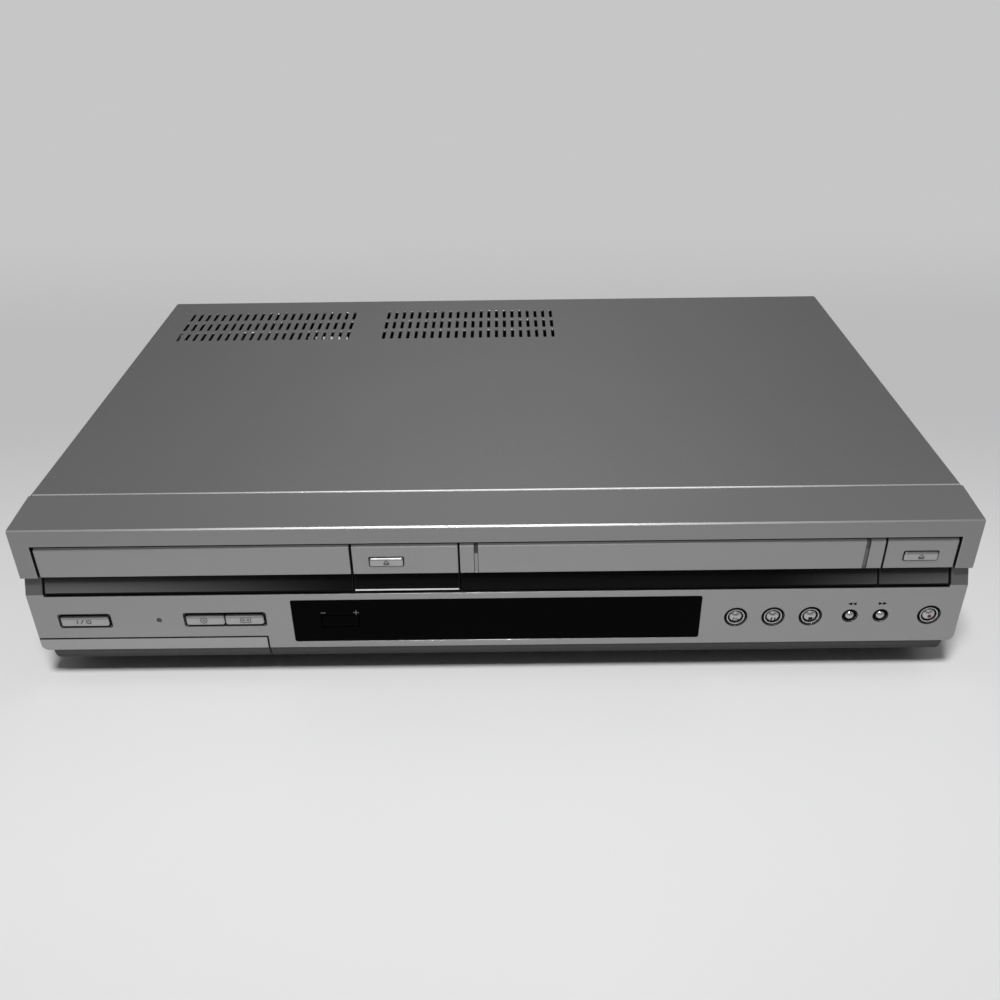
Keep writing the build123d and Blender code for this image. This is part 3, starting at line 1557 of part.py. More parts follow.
with BuildPart() as cassette_holder:
    with Locations((deck_x, back(holder_front), cassette_floor - holder_sheet)):
        Box(
            2 * holder_outer,
            holder_length,
            holder_high - cassette_floor + 2 * holder_sheet,
            align=(Align.CENTER, Align.MIN, Align.MIN),
        )
    with Locations((deck_x, back(holder_front), cassette_floor)):
        Box(
            2 * holder_half,
            3 * holder_length,
            holder_high - cassette_floor,
            align=(Align.CENTER, Align.CENTER, Align.MIN),
            mode=Mode.SUBTRACT,
        )
    with Locations((deck_x, back(holder_front), cassette_floor)):
        Box(
            2 * (holder_half - holder_ledge),
            3 * holder_length,
            4 * holder_sheet,
            align=(Align.CENTER, Align.CENTER, Align.CENTER),
            mode=Mode.SUBTRACT,
        )
    with BuildSketch(Plane.XY.offset(holder_high)):
        with Locations((deck_x, back((holder_front + holder_back) / 2))):
            RectangleRounded(90.0, holder_length - 22.0, 4.0)
    extrude(amount=2 * holder_sheet, mode=Mode.SUBTRACT)
    for sign in (-1, 1):
        with BuildSketch(side(deck(sign * holder_outer) - (holder_pin_length if sign < 0 else 0))):
            with Locations(*[(back(depth), pin_high) for depth in holder_pins]):
                Circle(holder_pin_radius)
        extrude(amount=holder_pin_length)
cassette_holder.part.label = "cassette_holder"
export_step(cassette_holder.part, "parts/cassette_holder.step")

drum_plane = Plane(
    origin=(deck_x, back(drum_depth), deck_top + drum_seat),
    x_dir=(math.cos(math.radians(drum_tilt)), 0, math.sin(math.radians(drum_tilt))),
    z_dir=(-math.sin(math.radians(drum_tilt)), 0, math.cos(math.radians(drum_tilt))),
)
with BuildPart() as lower_drum:
    with BuildSketch(drum_plane):
        Circle(drum_radius)
    extrude(amount=lower_drum_height)
    with BuildSketch(drum_plane):
        Circle(drum_shaft_radius)
    extrude(amount=lower_drum_height + upper_drum_height)
    with BuildSketch(Plane.XY.offset(deck_top)):
        with Locations((deck_x, back(drum_depth))):
            Circle(drum_radius - 8.0)
    extrude(amount=drum_seat + 2.0)
lower_drum.part.label = "lower_drum"
export_step(lower_drum.part, "parts/lower_drum.step")

with BuildPart() as upper_drum:
    with BuildSketch(drum_plane.offset(lower_drum_height + running_gap)):
        Circle(drum_radius)
        Circle(drum_shaft_radius + shaft_play, mode=Mode.SUBTRACT)
    extrude(amount=upper_drum_height - running_gap)
    with BuildSketch(drum_plane.offset(lower_drum_height + upper_drum_height - drum_dish)):
        Circle(drum_radius - 5.0)
        Circle(3 * drum_shaft_radius, mode=Mode.SUBTRACT)
    extrude(amount=drum_dish, mode=Mode.SUBTRACT)
upper_drum.part.label = "upper_drum"
export_step(upper_drum.part, "parts/upper_drum.step")

for name, sign in (("supply_reel", -1), ("takeup_reel", 1)):
    with BuildPart() as reel:
        with BuildSketch(Plane.XY.offset(deck_top + running_gap)):
            with Locations((deck(sign * reel_spacing / 2), back(reel_depth))):
                Circle(reel_radius)
        extrude(amount=reel_seat - running_gap)
        with BuildSketch(Plane.XY.offset(deck_top + reel_seat)):
            with Locations((deck(sign * reel_spacing / 2), back(reel_depth))):
                Circle(reel_hub_radius)
                with PolarLocations(reel_hub_radius, 3):
                    Rectangle(3.0, 1.8)
        extrude(amount=reel_hub_height)
        with BuildSketch(Plane.XY.offset(deck_top)):
            with Locations((deck(sign * reel_spacing / 2), back(reel_depth))):
                Circle(reel_pin_radius + shaft_play)
        extrude(amount=reel_seat + reel_hub_height, mode=Mode.SUBTRACT)
    reel.part.label = name
    export_step(reel.part, f"parts/{name}.step")

with BuildPart() as capstan:
    with BuildSketch(Plane.XY.offset(flywheel_low)):
        with Locations((deck(capstan_x), back(capstan_depth))):
            Circle(capstan_radius)
    extrude(amount=capstan_high - flywheel_low)
    with BuildSketch(Plane.XY.offset(flywheel_low)):
        with Locations((deck(capstan_x), back(capstan_depth))):
            Circle(flywheel_radius)
    extrude(amount=flywheel_thickness)
capstan.part.label = "capstan"
export_step(capstan.part, "parts/capstan.step")

with BuildPart() as pinch_arm:
    with BuildSketch(Plane.XY.offset(pinch_arm_high)):
        with Locations(*[(deck(x), back(depth)) for x, depth in (pinch_pivot, pinch_rest)]):
            Circle(4.0)
        make_hull()
    extrude(amount=pinch_arm_sheet)
    with BuildSketch(Plane.XY.offset(pinch_arm_high)):
        with Locations((deck(pinch_pivot[0]), back(pinch_pivot[1]))):
            Circle(reel_pin_radius + shaft_play)
    extrude(amount=pinch_arm_sheet, mode=Mode.SUBTRACT)
    with BuildSketch(Plane.XY.offset(pinch_arm_high + pinch_arm_sheet)):
        with Locations((deck(pinch_rest[0]), back(pinch_rest[1]))):
            Circle(capstan_radius)
    extrude(amount=pinch_roller_height + 3 * running_gap)
pinch_arm.part.label = "pinch_arm"
export_step(pinch_arm.part, "parts/pinch_arm.step")

with BuildPart() as pinch_roller:
    with BuildSketch(Plane.XY.offset(pinch_arm_high + pinch_arm_sheet + running_gap)):
        with Locations((deck(pinch_rest[0]), back(pinch_rest[1]))):
            Circle(pinch_radius)
            Circle(capstan_radius + shaft_play, mode=Mode.SUBTRACT)
    extrude(amount=pinch_roller_height)
pinch_roller.part.label = "pinch_roller"
export_step(pinch_roller.part, "parts/pinch_roller.step")

guide_places = [(deck(sign * guide_x), back(guide_start)) for sign in (-1, 1)]
guide_cap_low = deck_top + guide_base + guide_roller_height
with BuildPart() as tape_guides:
    with BuildSketch(Plane.XY.offset(deck_top + running_gap)):
        with Locations(*guide_places):
            RectangleRounded(2 * guide_slot, 2.4 * guide_slot, 1.0)
    extrude(amount=guide_base)
    for low, high, radius in (
        (deck_top - deck_sheet, deck_top + running_gap, guide_slot / 2 - running_gap),
        (deck_top + guide_base, guide_cap_low, guide_roller_radius),
        (guide_cap_low, guide_cap_low + guide_cap, guide_roller_radius + 0.8),
    ):
        with BuildSketch(Plane.XY.offset(low)):
            with Locations(*guide_places):
                Circle(radius)
        extrude(amount=high - low)
tape_guides.part.label = "tape_guides"
export_step(tape_guides.part, "parts/tape_guides.step")


# ================================================================ boards
def parts_on_board(pieces):
    """Chips and other square parts: centre X, depth, width, length and height of each."""
    for part_x, depth, width, length, height in pieces:
        with Locations((part_x, back(depth), board_height + board_sheet)):
            Box(width, length, height, align=(Align.CENTER, Align.CENTER, Align.MIN))


main_left = -board_half
main_right = deck(-deck_half_width) - 6.0
power_front = loader_back + 6.0
power_right = -60.0
rear_wall = case_depth - cover_sheet - rear_wall_gap - metal_sheet
main_back = rear_wall - 2.0
power_back = rear_wall - 4.0
power_depth = power_back - power_front
sink_length = power_depth - sink_spare
with BuildPart() as main_board:
    with BuildSketch(Plane.XY.offset(board_height)):
        with BuildLine():
            Polyline(
                (main_left, back(fascia_depth + 3.0)),
                (main_right, back(fascia_depth + 3.0)),
                (main_right, back(deck_back + 4.0)),
                (deck(deck_half_width), back(deck_back + 4.0)),
                (deck(deck_half_width), back(main_back)),
                (power_right + 3.0, back(main_back)),
                (power_right + 3.0, back(loader_back + 2.0)),
                (main_left, back(loader_back + 2.0)),
                close=True,
            )
        make_face()
        with Locations(*leg_places):
            Circle(loader_leg_radius + 1.0, mode=Mode.SUBTRACT)
    extrude(amount=board_sheet)
    parts_on_board(main_chips)
    # posts under the board
    with BuildSketch(Plane.XY.offset(chassis_top)):
        with Locations(*[(x, back(depth)) for x, depth in main_posts]):
            Circle(board_post_radius)
    extrude(amount=board_height - chassis_top)
main_board.part.label = "main_board"
export_step(main_board.part, "parts/main_board.step")

with BuildPart() as power_board:
    with Locations((main_left, back(power_front), board_height)):
        Box(
            power_right - main_left,
            power_depth,
            board_sheet,
            align=(Align.MIN, Align.MIN, Align.MIN),
        )
    parts_on_board([(x, power_front + share * power_depth, *size) for x, share, *size in power_chips])
    for x, share, radius, height in capacitor_places:
        with Locations((x, back(power_front + share * power_depth), board_height + board_sheet)):
            Cylinder(radius, height, align=(Align.CENTER, Align.CENTER, Align.MIN))
    # finned heat sink
    with Locations((sink_x, back(power_front + sink_share * power_depth), board_height + board_sheet)):
        Box(sink_sheet, sink_length, sink_height, align=(Align.CENTER, Align.CENTER, Align.MIN))
        with GridLocations(0, sink_length / 6.5, 1, 7):
            Box(16.0, 1.6, sink_height, align=(Align.CENTER, Align.CENTER, Align.MIN))
    power_posts = [
        (x, back(depth))
        for x in (main_left + 6.0, power_right - 6.0)
        for depth in (power_front + 6.0, power_back - 6.0)
    ]
    with BuildSketch(Plane.XY.offset(chassis_top)):
        with Locations(*power_posts):
            Circle(board_post_radius)
    extrude(amount=board_height - chassis_top)
power_board.part.label = "power_board"
export_step(power_board.part, "parts/power_board.step")

with BuildPart() as power_transformer:
    transformer_y = back(power_front + transformer_share * power_depth)
    for size, rise in ((transformer_core, 0), (transformer_coil, transformer_coil_rise)):
        with Locations((transformer_x, transformer_y, board_height + board_sheet + rise)):
            Box(*size, align=(Align.CENTER, Align.CENTER, Align.MIN))
power_transformer.part.label = "power_transformer"
export_step(power_transformer.part, "parts/power_transformer.step")

with BuildPart() as ribbon_cables:
    for ribbon_x, width in ribbons:
        with BuildSketch(side(ribbon_x)):
            with BuildLine():
                ribbon = FilletPolyline(
                    (back(board_depth + board_sheet), ribbon_height),
                    (back(ribbon_knee), ribbon_height),
                    (back(ribbon_end), board_height + board_sheet + 6.0),
                    (back(ribbon_end), board_height + board_sheet),
                    radius=3.0,
                )
                offset(ribbon, amount=ribbon_sheet, side=Side.LEFT, closed=True)
            make_face()
        extrude(amount=width)
ribbon_cables.part.label = "ribbon_cables"
export_step(ribbon_cables.part, "parts/ribbon_cables.step")


# ================================================================ sockets at the back
socket_columns = [
    rear_socket_x + (column - (rear_socket_columns - 1) / 2) * rear_socket_pitch
    for column in range(rear_socket_columns)
]
rear_sockets = [(x, z) for x in socket_columns for z in rear_socket_rows]
tuner_low = board_height + board_sheet
tuner_sockets = [
    (tuner_x + sign * tuner_socket_pitch / 2, tuner_low + tuner_height / 2) for sign in (-1, 1)
]
socket_end = case_depth + socket_reach
with BuildPart() as rear_av_jacks:
    block_high = rear_socket_rows[-1] + 2 * socket_barrel_radius
    with Locations((rear_socket_x, back(rear_wall), board_height + board_sheet)):
        Box(
            rear_socket_columns * rear_socket_pitch,
            14.0,
            block_high - board_height - board_sheet,
            align=(Align.CENTER, Align.MAX, Align.MIN),
        )
    with BuildSketch(facing(rear_wall)):
        with Locations(*rear_sockets):
            Circle(socket_barrel_radius)
    extrude(amount=rear_wall - case_depth - rear_socket_reach)
    with BuildSketch(facing(case_depth + rear_socket_reach)):
        with Locations(*rear_sockets):
            Circle(socket_bore_radius)
    extrude(amount=rear_socket_reach, mode=Mode.SUBTRACT)
rear_av_jacks.part.label = "rear_av_jacks"
export_step(rear_av_jacks.part, "parts/rear_av_jacks.step")

with BuildPart() as tuner:
    with Locations((tuner_x, back(rear_wall), tuner_low)):
        tuner_length = rear_wall - deck_back - tuner_gap
        Box(tuner_width, tuner_length, tuner_height, align=(Align.CENTER, Align.MAX, Align.MIN))
    with BuildSketch(facing(rear_wall)):
        with Locations(*tuner_sockets):
            Circle(tuner_socket_radius)
    extrude(amount=rear_wall - socket_end)
    with BuildSketch(facing(socket_end)):
        with Locations(*tuner_sockets):
            Circle(socket_bore_radius - 0.5)
    extrude(amount=socket_reach, mode=Mode.SUBTRACT)
tuner.part.label = "tuner"
export_step(tuner.part, "parts/tuner.step")

with BuildPart() as mains_inlet:
    with BuildSketch(facing(rear_wall + metal_sheet)):
        with Locations((inlet_x, inlet_height)):
            RectangleRounded(inlet_size[0], inlet_size[1], 2.0)
    extrude(amount=inlet_body)
    with BuildSketch(facing(rear_wall + metal_sheet + inlet_flange)):
        with Locations((inlet_x, inlet_height)):
            RectangleRounded(inlet_size[0] + 4.0, inlet_size[1] + 4.0, 3.0)
    extrude(amount=inlet_flange)
    with BuildSketch(facing(rear_wall + metal_sheet + inlet_flange)):
        with Locations((inlet_x, inlet_height)):
            SlotOverall(inlet_size[0] - 5.0, inlet_size[1] - 4.0)
            with Locations((-inlet_pins / 2, 0), (inlet_pins / 2, 0)):
                Circle(1.2, mode=Mode.SUBTRACT)
    extrude(amount=inlet_body - 2.0, mode=Mode.SUBTRACT)
    with Locations((inlet_x, back(rear_wall), board_height + board_sheet)):
        Box(
            inlet_size[0] - 4.0,
            inlet_body - 6.0,
            inlet_height - board_height - board_sheet - inlet_size[1] / 2 + 1.0,
            align=(Align.CENTER, Align.MAX, Align.MIN),
        )
mains_inlet.part.label = "mains_inlet"
export_step(mains_inlet.part, "parts/mains_inlet.step")


# ================================================================ case
pan_half = half_width - cover_sheet - running_gap
with BuildPart() as bottom_chassis:
    with Locations((0, back(band_depth + running_gap), foot_height)):
        Box(
            2 * pan_half,
            rear_wall + metal_sheet - band_depth - running_gap,
            metal_sheet,
            align=(Align.CENTER, Align.MIN, Align.MIN),
        )
    for sign in (-1, 1):
        with Locations((sign * pan_half, back(band_depth + running_gap), foot_height)):
            Box(
                metal_sheet,
                rear_wall + metal_sheet - band_depth - running_gap,
                face_bottom - running_gap - foot_height,
                align=(Align.MAX if sign > 0 else Align.MIN, Align.MIN, Align.MIN),
            )
    with BuildSketch(Plane.XY.offset(foot_height)):
        for grid_x, grid_depth, columns, rows in floor_vents:
            with Locations((grid_x, back(grid_depth))):
                with GridLocations(10.0, 20.0, columns, rows):
                    RectangleRounded(3.0, 14.0, 1.4)
    extrude(amount=metal_sheet, mode=Mode.SUBTRACT)
bottom_chassis.part.label = "bottom_chassis"
export_step(bottom_chassis.part, "parts/bottom_chassis.step")

with BuildPart() as rear_panel:
    with BuildSketch(facing(rear_wall + metal_sheet)):
        with Locations((0, chassis_top)):
            Rectangle(
                2 * (pan_half - metal_sheet - 0.1),
                case_height - cover_sheet - running_gap - chassis_top,
                align=(Align.CENTER, Align.MIN),
            )
        with Locations(*rear_sockets):
            Circle(socket_barrel_radius + panel_clearance, mode=Mode.SUBTRACT)
        with Locations(*tuner_sockets):
            Circle(tuner_socket_radius + panel_clearance, mode=Mode.SUBTRACT)
        with Locations((inlet_x, inlet_height)):
            RectangleRounded(
                inlet_size[0] + 2 * panel_clearance,
                inlet_size[1] + 2 * panel_clearance,
                2.0,
                mode=Mode.SUBTRACT,
            )
        with Locations((rear_vent_x, rear_vent_height)):
            with GridLocations(vent_pitch, 1.0, rear_vent_columns, 1):
                RectangleRounded(vent_slot[0], vent_slot[1], 0.9, mode=Mode.SUBTRACT)
    extrude(amount=metal_sheet)
rear_panel.part.label = "rear_panel"
export_step(rear_panel.part, "parts/rear_panel.step")

cover_front = fascia_depth + panel_gap
with BuildPart() as top_cover:
    with BuildSketch(facing(case_depth)):
        with Locations((0, cover_low)):
            Rectangle(case_width, case_height - cover_low, align=(Align.CENTER, Align.MIN))
        fillet(vertices().sort_by(Axis.Y)[-2:], cover_edge_round)
    extrude(amount=case_depth - cover_front)
    with Locations((0, back(cover_front), 0)):
        Box(
            case_width - 2 * cover_sheet,
            case_depth - cover_front - cover_sheet,
            case_height - cover_sheet,
            align=(Align.CENTER, Align.MIN, Align.MIN),
            mode=Mode.SUBTRACT,
        )
    with Locations((0, back(case_depth), 0)):
        Box(
            case_width - 2 * cover_sheet,
            3 * cover_sheet,
            case_height - rear_lip_height,
            align=(Align.CENTER, Align.CENTER, Align.MIN),
            mode=Mode.SUBTRACT,
        )
    with BuildSketch(Plane.XY.offset(case_height - cover_sheet)):
        for bank_x in vent_banks:
            with Locations((bank_x, back(vent_depth))):
                with GridLocations(vent_pitch, vent_row_pitch, vent_columns, vent_rows):
                    RectangleRounded(vent_slot[0], vent_slot[1], 0.7)
    extrude(amount=cover_sheet, mode=Mode.SUBTRACT)
    # screw holes
    for sign in (-1, 1):
        with BuildSketch(side(sign * (half_width - cover_sheet))):
            with Locations(*[(back(depth), side_screw_height) for depth in side_screw_depths]):
                Circle(screw_radius + shaft_play)
        extrude(amount=sign * cover_sheet, mode=Mode.SUBTRACT)
    with BuildSketch(facing(case_depth)):
        with Locations(*[(x, case_height - rear_lip_height / 2) for x in rear_screw_x]):
            Circle(screw_radius + shaft_play)
    extrude(amount=cover_sheet, mode=Mode.SUBTRACT)
top_cover.part.label = "top_cover"
export_step(top_cover.part, "parts/top_cover.step")

with BuildPart() as case_screws:
    for sign in (-1, 1):
        with BuildSketch(side(sign * half_width)):
            with Locations(*[(back(depth), side_screw_height) for depth in side_screw_depths]):
                Circle(screw_head_radius)
        extrude(amount=sign * screw_head_height)
        with BuildSketch(side(sign * half_width)):
            with Locations(*[(back(depth), side_screw_height) for depth in side_screw_depths]):
                Circle(screw_radius)
        extrude(amount=-sign * cover_sheet)
    with BuildSketch(facing(case_depth)):
        with Locations(*[(x, case_height - rear_lip_height / 2) for x in rear_screw_x]):
            Circle(screw_head_radius)
    extrude(amount=-screw_head_height)
    with BuildSketch(facing(case_depth)):
        with Locations(*[(x, case_height - rear_lip_height / 2) for x in rear_screw_x]):
            Circle(screw_radius)
    extrude(amount=cover_sheet)
    # screws that hold the socket blocks to the back panel
    with BuildSketch(facing(rear_wall + metal_sheet)):
        with Locations(*panel_screws):
            Circle(screw_head_radius - 0.4)
    extrude(amount=-screw_head_height)
case_screws.part.label = "case_screws"
export_step(case_screws.part, "parts/case_screws.step")

with BuildPart() as feet:
    for foot_x in (-foot_spread / 2, foot_spread / 2):
        for depth in (foot_front, foot_rear):
            with Locations((foot_x, back(depth), 0)):
                middle_low = (Align.CENTER, Align.CENTER, Align.MIN)
                Cone(foot_radius - 1.5, foot_radius, foot_height, align=middle_low)
    fillet(feet.edges().group_by(Axis.Z)[0], 1.0)
feet.part.label = "feet"
export_step(feet.part, "parts/feet.step")
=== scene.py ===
import json
import math

import bmesh
import bpy
from mathutils import Matrix, Vector
from mathutils.bvhtree import BVHTree


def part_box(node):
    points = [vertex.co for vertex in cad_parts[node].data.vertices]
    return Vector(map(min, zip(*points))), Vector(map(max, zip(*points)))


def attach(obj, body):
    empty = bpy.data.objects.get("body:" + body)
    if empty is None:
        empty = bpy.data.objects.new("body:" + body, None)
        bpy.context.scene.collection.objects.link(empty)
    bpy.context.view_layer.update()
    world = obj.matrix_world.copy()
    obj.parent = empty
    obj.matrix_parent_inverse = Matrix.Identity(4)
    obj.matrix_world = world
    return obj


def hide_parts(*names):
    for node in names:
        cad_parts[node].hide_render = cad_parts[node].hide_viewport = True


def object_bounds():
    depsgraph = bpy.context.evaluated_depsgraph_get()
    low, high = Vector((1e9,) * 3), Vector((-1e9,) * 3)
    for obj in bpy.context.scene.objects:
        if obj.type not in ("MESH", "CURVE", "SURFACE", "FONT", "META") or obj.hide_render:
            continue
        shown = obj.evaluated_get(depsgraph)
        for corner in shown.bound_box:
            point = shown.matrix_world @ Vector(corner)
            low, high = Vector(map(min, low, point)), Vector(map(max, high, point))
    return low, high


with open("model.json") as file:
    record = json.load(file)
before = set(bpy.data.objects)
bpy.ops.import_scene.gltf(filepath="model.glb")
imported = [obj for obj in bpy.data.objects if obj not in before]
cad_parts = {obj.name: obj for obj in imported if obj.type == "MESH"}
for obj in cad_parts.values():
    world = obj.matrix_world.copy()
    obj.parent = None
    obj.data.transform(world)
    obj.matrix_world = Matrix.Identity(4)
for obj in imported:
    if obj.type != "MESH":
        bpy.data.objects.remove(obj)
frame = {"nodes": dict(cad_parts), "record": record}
cadNodes = frame["nodes"]
cadBounds = [list(corner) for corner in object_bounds()]
mm = 0.001

# planes of the frame that the rest is placed from, in millimetres
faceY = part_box("front_panel")[0].y / mm
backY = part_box("top_cover")[1].y / mm
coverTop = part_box("top_cover")[1].z / mm
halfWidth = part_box("top_cover")[1].x / mm


class Wire:
    # a value on its way between nodes, which can be used in sums
    def __init__(self, paint, socket):
        self.paint = paint
        self.socket = socket

    def __add__(self, other):
        return self.paint.sum("ADD", self, other)

    def __radd__(self, other):
        return self.paint.sum("ADD", other, self)

    def __sub__(self, other):
        return self.paint.sum("SUBTRACT", self, other)

    def __rsub__(self, other):
        return self.paint.sum("SUBTRACT", other, self)

    def __mul__(self, other):
        return self.paint.sum("MULTIPLY", self, other)

    def __rmul__(self, other):
        return self.paint.sum("MULTIPLY", other, self)

    def __truediv__(self, other):
        return self.paint.sum("DIVIDE", self, other)

    def __rtruediv__(self, other):
        return self.paint.sum("DIVIDE", other, self)

    def __pow__(self, other):
        return self.paint.sum("POWER", self, other)

    def __rpow__(self, other):
        return self.paint.sum("POWER", other, self)

    def __abs__(self):
        return self.paint.sum("ABSOLUTE", self)

    def __gt__(self, other):
        return self.paint.sum("GREATER_THAN", self, other)

    def __lt__(self, other):
        return self.paint.sum("LESS_THAN", self, other)

    def most(self, other):
        return self.paint.sum("MAXIMUM", self, other)


class Paint:
    # a node tree with short ways to the nodes that the finishes need
    def __init__(self, name, tree=None):
        if tree is None:
            self.material = bpy.data.materials.new(name)
            self.material.use_nodes = True
            self.tree = self.material.node_tree
        else:
            self.tree = tree
        self.tree.nodes.clear()
        if tree is None:
            self.locate()

    def node(self, kind, settings=None, inputs=None, output=0):
        made = self.tree.nodes.new("ShaderNode" + kind)
        for key, value in (settings or {}).items():
            setattr(made, key, value)
        for key, value in (inputs or {}).items():
            if isinstance(value, Wire):
                self.tree.links.new(value.socket, made.inputs[key])
            else:
                made.inputs[key].default_value = value
        return Wire(self, made.outputs[output]) if len(made.outputs) else None

    def sum(self, operation, left, right=0.0):
        return self.node("Math", {"operation": operation}, {0: left, 1: right})

    def parts(self, vector):
        # the three numbers of a vector
        axes = self.node("SeparateXYZ", {}, {0: vector}).socket.node
        return [Wire(self, axes.outputs[axis]) for axis in ("X", "Y", "Z")]

    def locate(self):
        # the place in the shared frame, in millimetres
        seat = self.node("TexCoord", output="Object")
        self.position = self.node("VectorMath", {"operation": "SCALE"}, {0: seat, "Scale": 1 / mm})
        self.x, self.y, self.z = self.parts(self.position)

    def noise(self, size, detail=2.0, stretch=(1.0, 1.0, 1.0)):
        # blotches of about that size in millimetres, from 0 to 1
        scale = tuple(1 / (size * part) for part in stretch)
        spread = self.node("VectorMath", {"operation": "MULTIPLY"}, {0: self.position, 1: scale})
        return self.node("TexNoise", {}, {"Vector": spread, "Scale": 1.0, "Detail": detail})

    def cells(self, size, channel):
        # one random number for each cell of about that size
        colour = self.node("TexVoronoi", {}, {"Vector": self.position, "Scale": 1 / size}, "Color")
        return self.node("SeparateColor", {}, {0: colour}, channel)

    def stripes(self, value, pitch):
        # how far along its own stripe a place is, from 0 to 1
        return self.sum("FRACT", value / pitch + 300)

    def ease(self, value, low, high, bottom=0.0, top=1.0):
        # a smooth step from bottom to top as the value goes from low to high
        inputs = {"Value": value, "From Min": low, "From Max": high, "To Min": bottom, "To Max": top}
        return self.node("MapRange", {"interpolation_type": "SMOOTHSTEP"}, inputs)

    def past(self, value, place, blur=0.1):
        return self.ease(value, place - blur, place + blur)

    def before(self, value, place, blur=0.1):
        return self.ease(value, place - blur, place + blur, 1.0, 0.0)

    def inside(self, value, low, high, blur=0.05):
        return self.past(value, low, blur) * self.before(value, high, blur)

    def mix(self, factor, first, second):
        return self.node("Mix", {"data_type": "RGBA"}, {0: factor, 6: first, 7: second}, 2)

    def shade(self, colour, amount):
        # the colour made lighter or darker by a number around 1
        even = self.node("CombineXYZ", {}, {0: amount, 1: amount, 2: amount})
        start = colour if isinstance(colour, Wire) else colour[:3]
        return self.node("VectorMath", {"operation": "MULTIPLY"}, {0: start, 1: even})

    def dim(self, colour, tone, mask):
        # the colour times tone where the mask is 1
        return self.shade(colour, 1 - (1 - tone) * mask)

    def rounded(self, radius):
        # a normal that rounds the sharp edges, and a mask of where it does
        soft = self.node("Bevel", {"samples": 4}, {"Radius": radius * mm})
        flat = self.node("NewGeometry", output="Normal")
        same = self.node("VectorMath", {"operation": "DOT_PRODUCT"}, {0: soft, 1: flat}, "Value")
        return soft, self.ease(1 - same, 0.02, 0.25)

    def relief(self, height, depth, normal=None):
        # depth in millimetres for a height that goes from 0 to 1
        inputs = {"Height": height, "Distance": depth * mm, "Strength": 1.0}
        if normal is not None:
            inputs["Normal"] = normal
        return self.node("Bump", {}, inputs)

    def seen(self, *rays):
        # 1 for rays of these kinds and 0 for the rest
        path = self.node("LightPath").socket.node
        shown = Wire(self, path.outputs[rays[0]])
        for ray in rays[1:]:
            shown = shown.most(Wire(self, path.outputs[ray]))
        return shown

    def finish(self, inputs):
        surface = self.node("BsdfPrincipled", {}, inputs)
        self.node("OutputMaterial", {}, {"Surface": surface})
        return self.material


def grey(tone, warmth=0.0):
    return (tone * (1 + warmth), tone, tone * (1 - warmth), 1.0)


# finishes of the outside; places are in millimetres

coverLook = {
    "tone": 0.265, "warmth": 0.003, "metallic": 0.8, "roughness": 0.36, "grain": 0.42, "grainDepth": 0.05,
    "fleck": 0.9, "cloud": 70.0, "edge": 0.6, "wear": 9.0, "worn": 0.72, "frontEdge": 28.1, "sheet": 1.0,
    "line": (-90.0, 130.0), "lineFade": 60.0, "bare": 1.0, "notch": 1.2, "notchDepth": 29.9,
    "notchShadeTone": 0.02, "innerTone": 0.5, "innerDrop": 1.45, "skin": 0.5,
}


def coverPaint():
    look = coverLook
    paint = Paint("cover_paint")
    x, y, z = paint.x, paint.y, paint.z
    grain = paint.noise(look["grain"], 3.0)
    fleck = paint.ease(paint.noise(look["fleck"], 1.0), 0.68, 0.78)
    cloud = paint.noise(look["cloud"], 3.0)
    normal, edge = paint.rounded(look["edge"])
    amount = 0.78 + 0.32 * grain + 0.06 * cloud + 0.25 * fleck
    colour = paint.shade(grey(look["tone"], look["warmth"]), amount)
    rub = edge * paint.ease(paint.noise(look["wear"], 3.0), 0.3, 0.6)
    colour = paint.mix(rub * 0.45, colour, grey(look["worn"], 0.01))
    # the sheet's cut front edge is bare, and carries a painted highlight that is brightest over its middle
    depth = y - faceY
    cut = paint.before(depth, look["frontEdge"], 0.2) * (z > coverTop - look["sheet"] + 0.05)
    cut = cut * (0.4 + 0.6 * paint.inside(x, *look["line"], look["lineFade"]))
    colour = paint.mix(cut, colour, grey(look["bare"]))
    # painted shade: a black mark at the front of the left side, where the gap of the seam lies in shade
    corner = (x < look["notch"] - halfWidth) * (depth < look["notchDepth"])
    colour = paint.mix(corner, colour, grey(look["notchShadeTone"]))
    # the shell's inner face
    skin = look["skin"]
    within = paint.before(z, coverTop - look["innerDrop"], 0.35)
    within = within * (abs(x) < halfWidth - skin) * (y < backY - skin)
    colour = paint.mix(within, colour, grey(look["innerTone"]))
    return paint.finish({
        "Base Color": colour, "Metallic": look["metallic"] * (1 - cut),
        "Roughness": look["roughness"] + 0.1 * (grain - 0.5) - 0.12 * rub,
        "Normal": paint.relief(grain, look["grainDepth"], normal),
    })


# the silver coat that the fascia, the doors and the blocks share
silverLook = {
    "tone": 0.315, "warmth": 0.002, "metallic": 0.75, "roughness": 0.36, "grain": 0.3, "grainDepth": 0.008,
    "cloud": 45.0, "edge": 0.22, "wear": 7.0, "worn": 0.75, "dark": 0.008,
}


def silverCoat(paint):
    look = silverLook
    grain = paint.noise(look["grain"], 2.0)
    cloud = paint.noise(look["cloud"], 3.0, (1.0, 1.0, 0.4))
    normal, edge = paint.rounded(look["edge"])
    colour = paint.shade(grey(look["tone"], look["warmth"]), 0.95 + 0.06 * grain + 0.05 * cloud)
    rub = edge * paint.ease(paint.noise(look["wear"], 3.0), 0.25, 0.65)
    colour = paint.mix(rub * 0.5, colour, grey(look["worn"]))
    return colour, grain, normal, rub


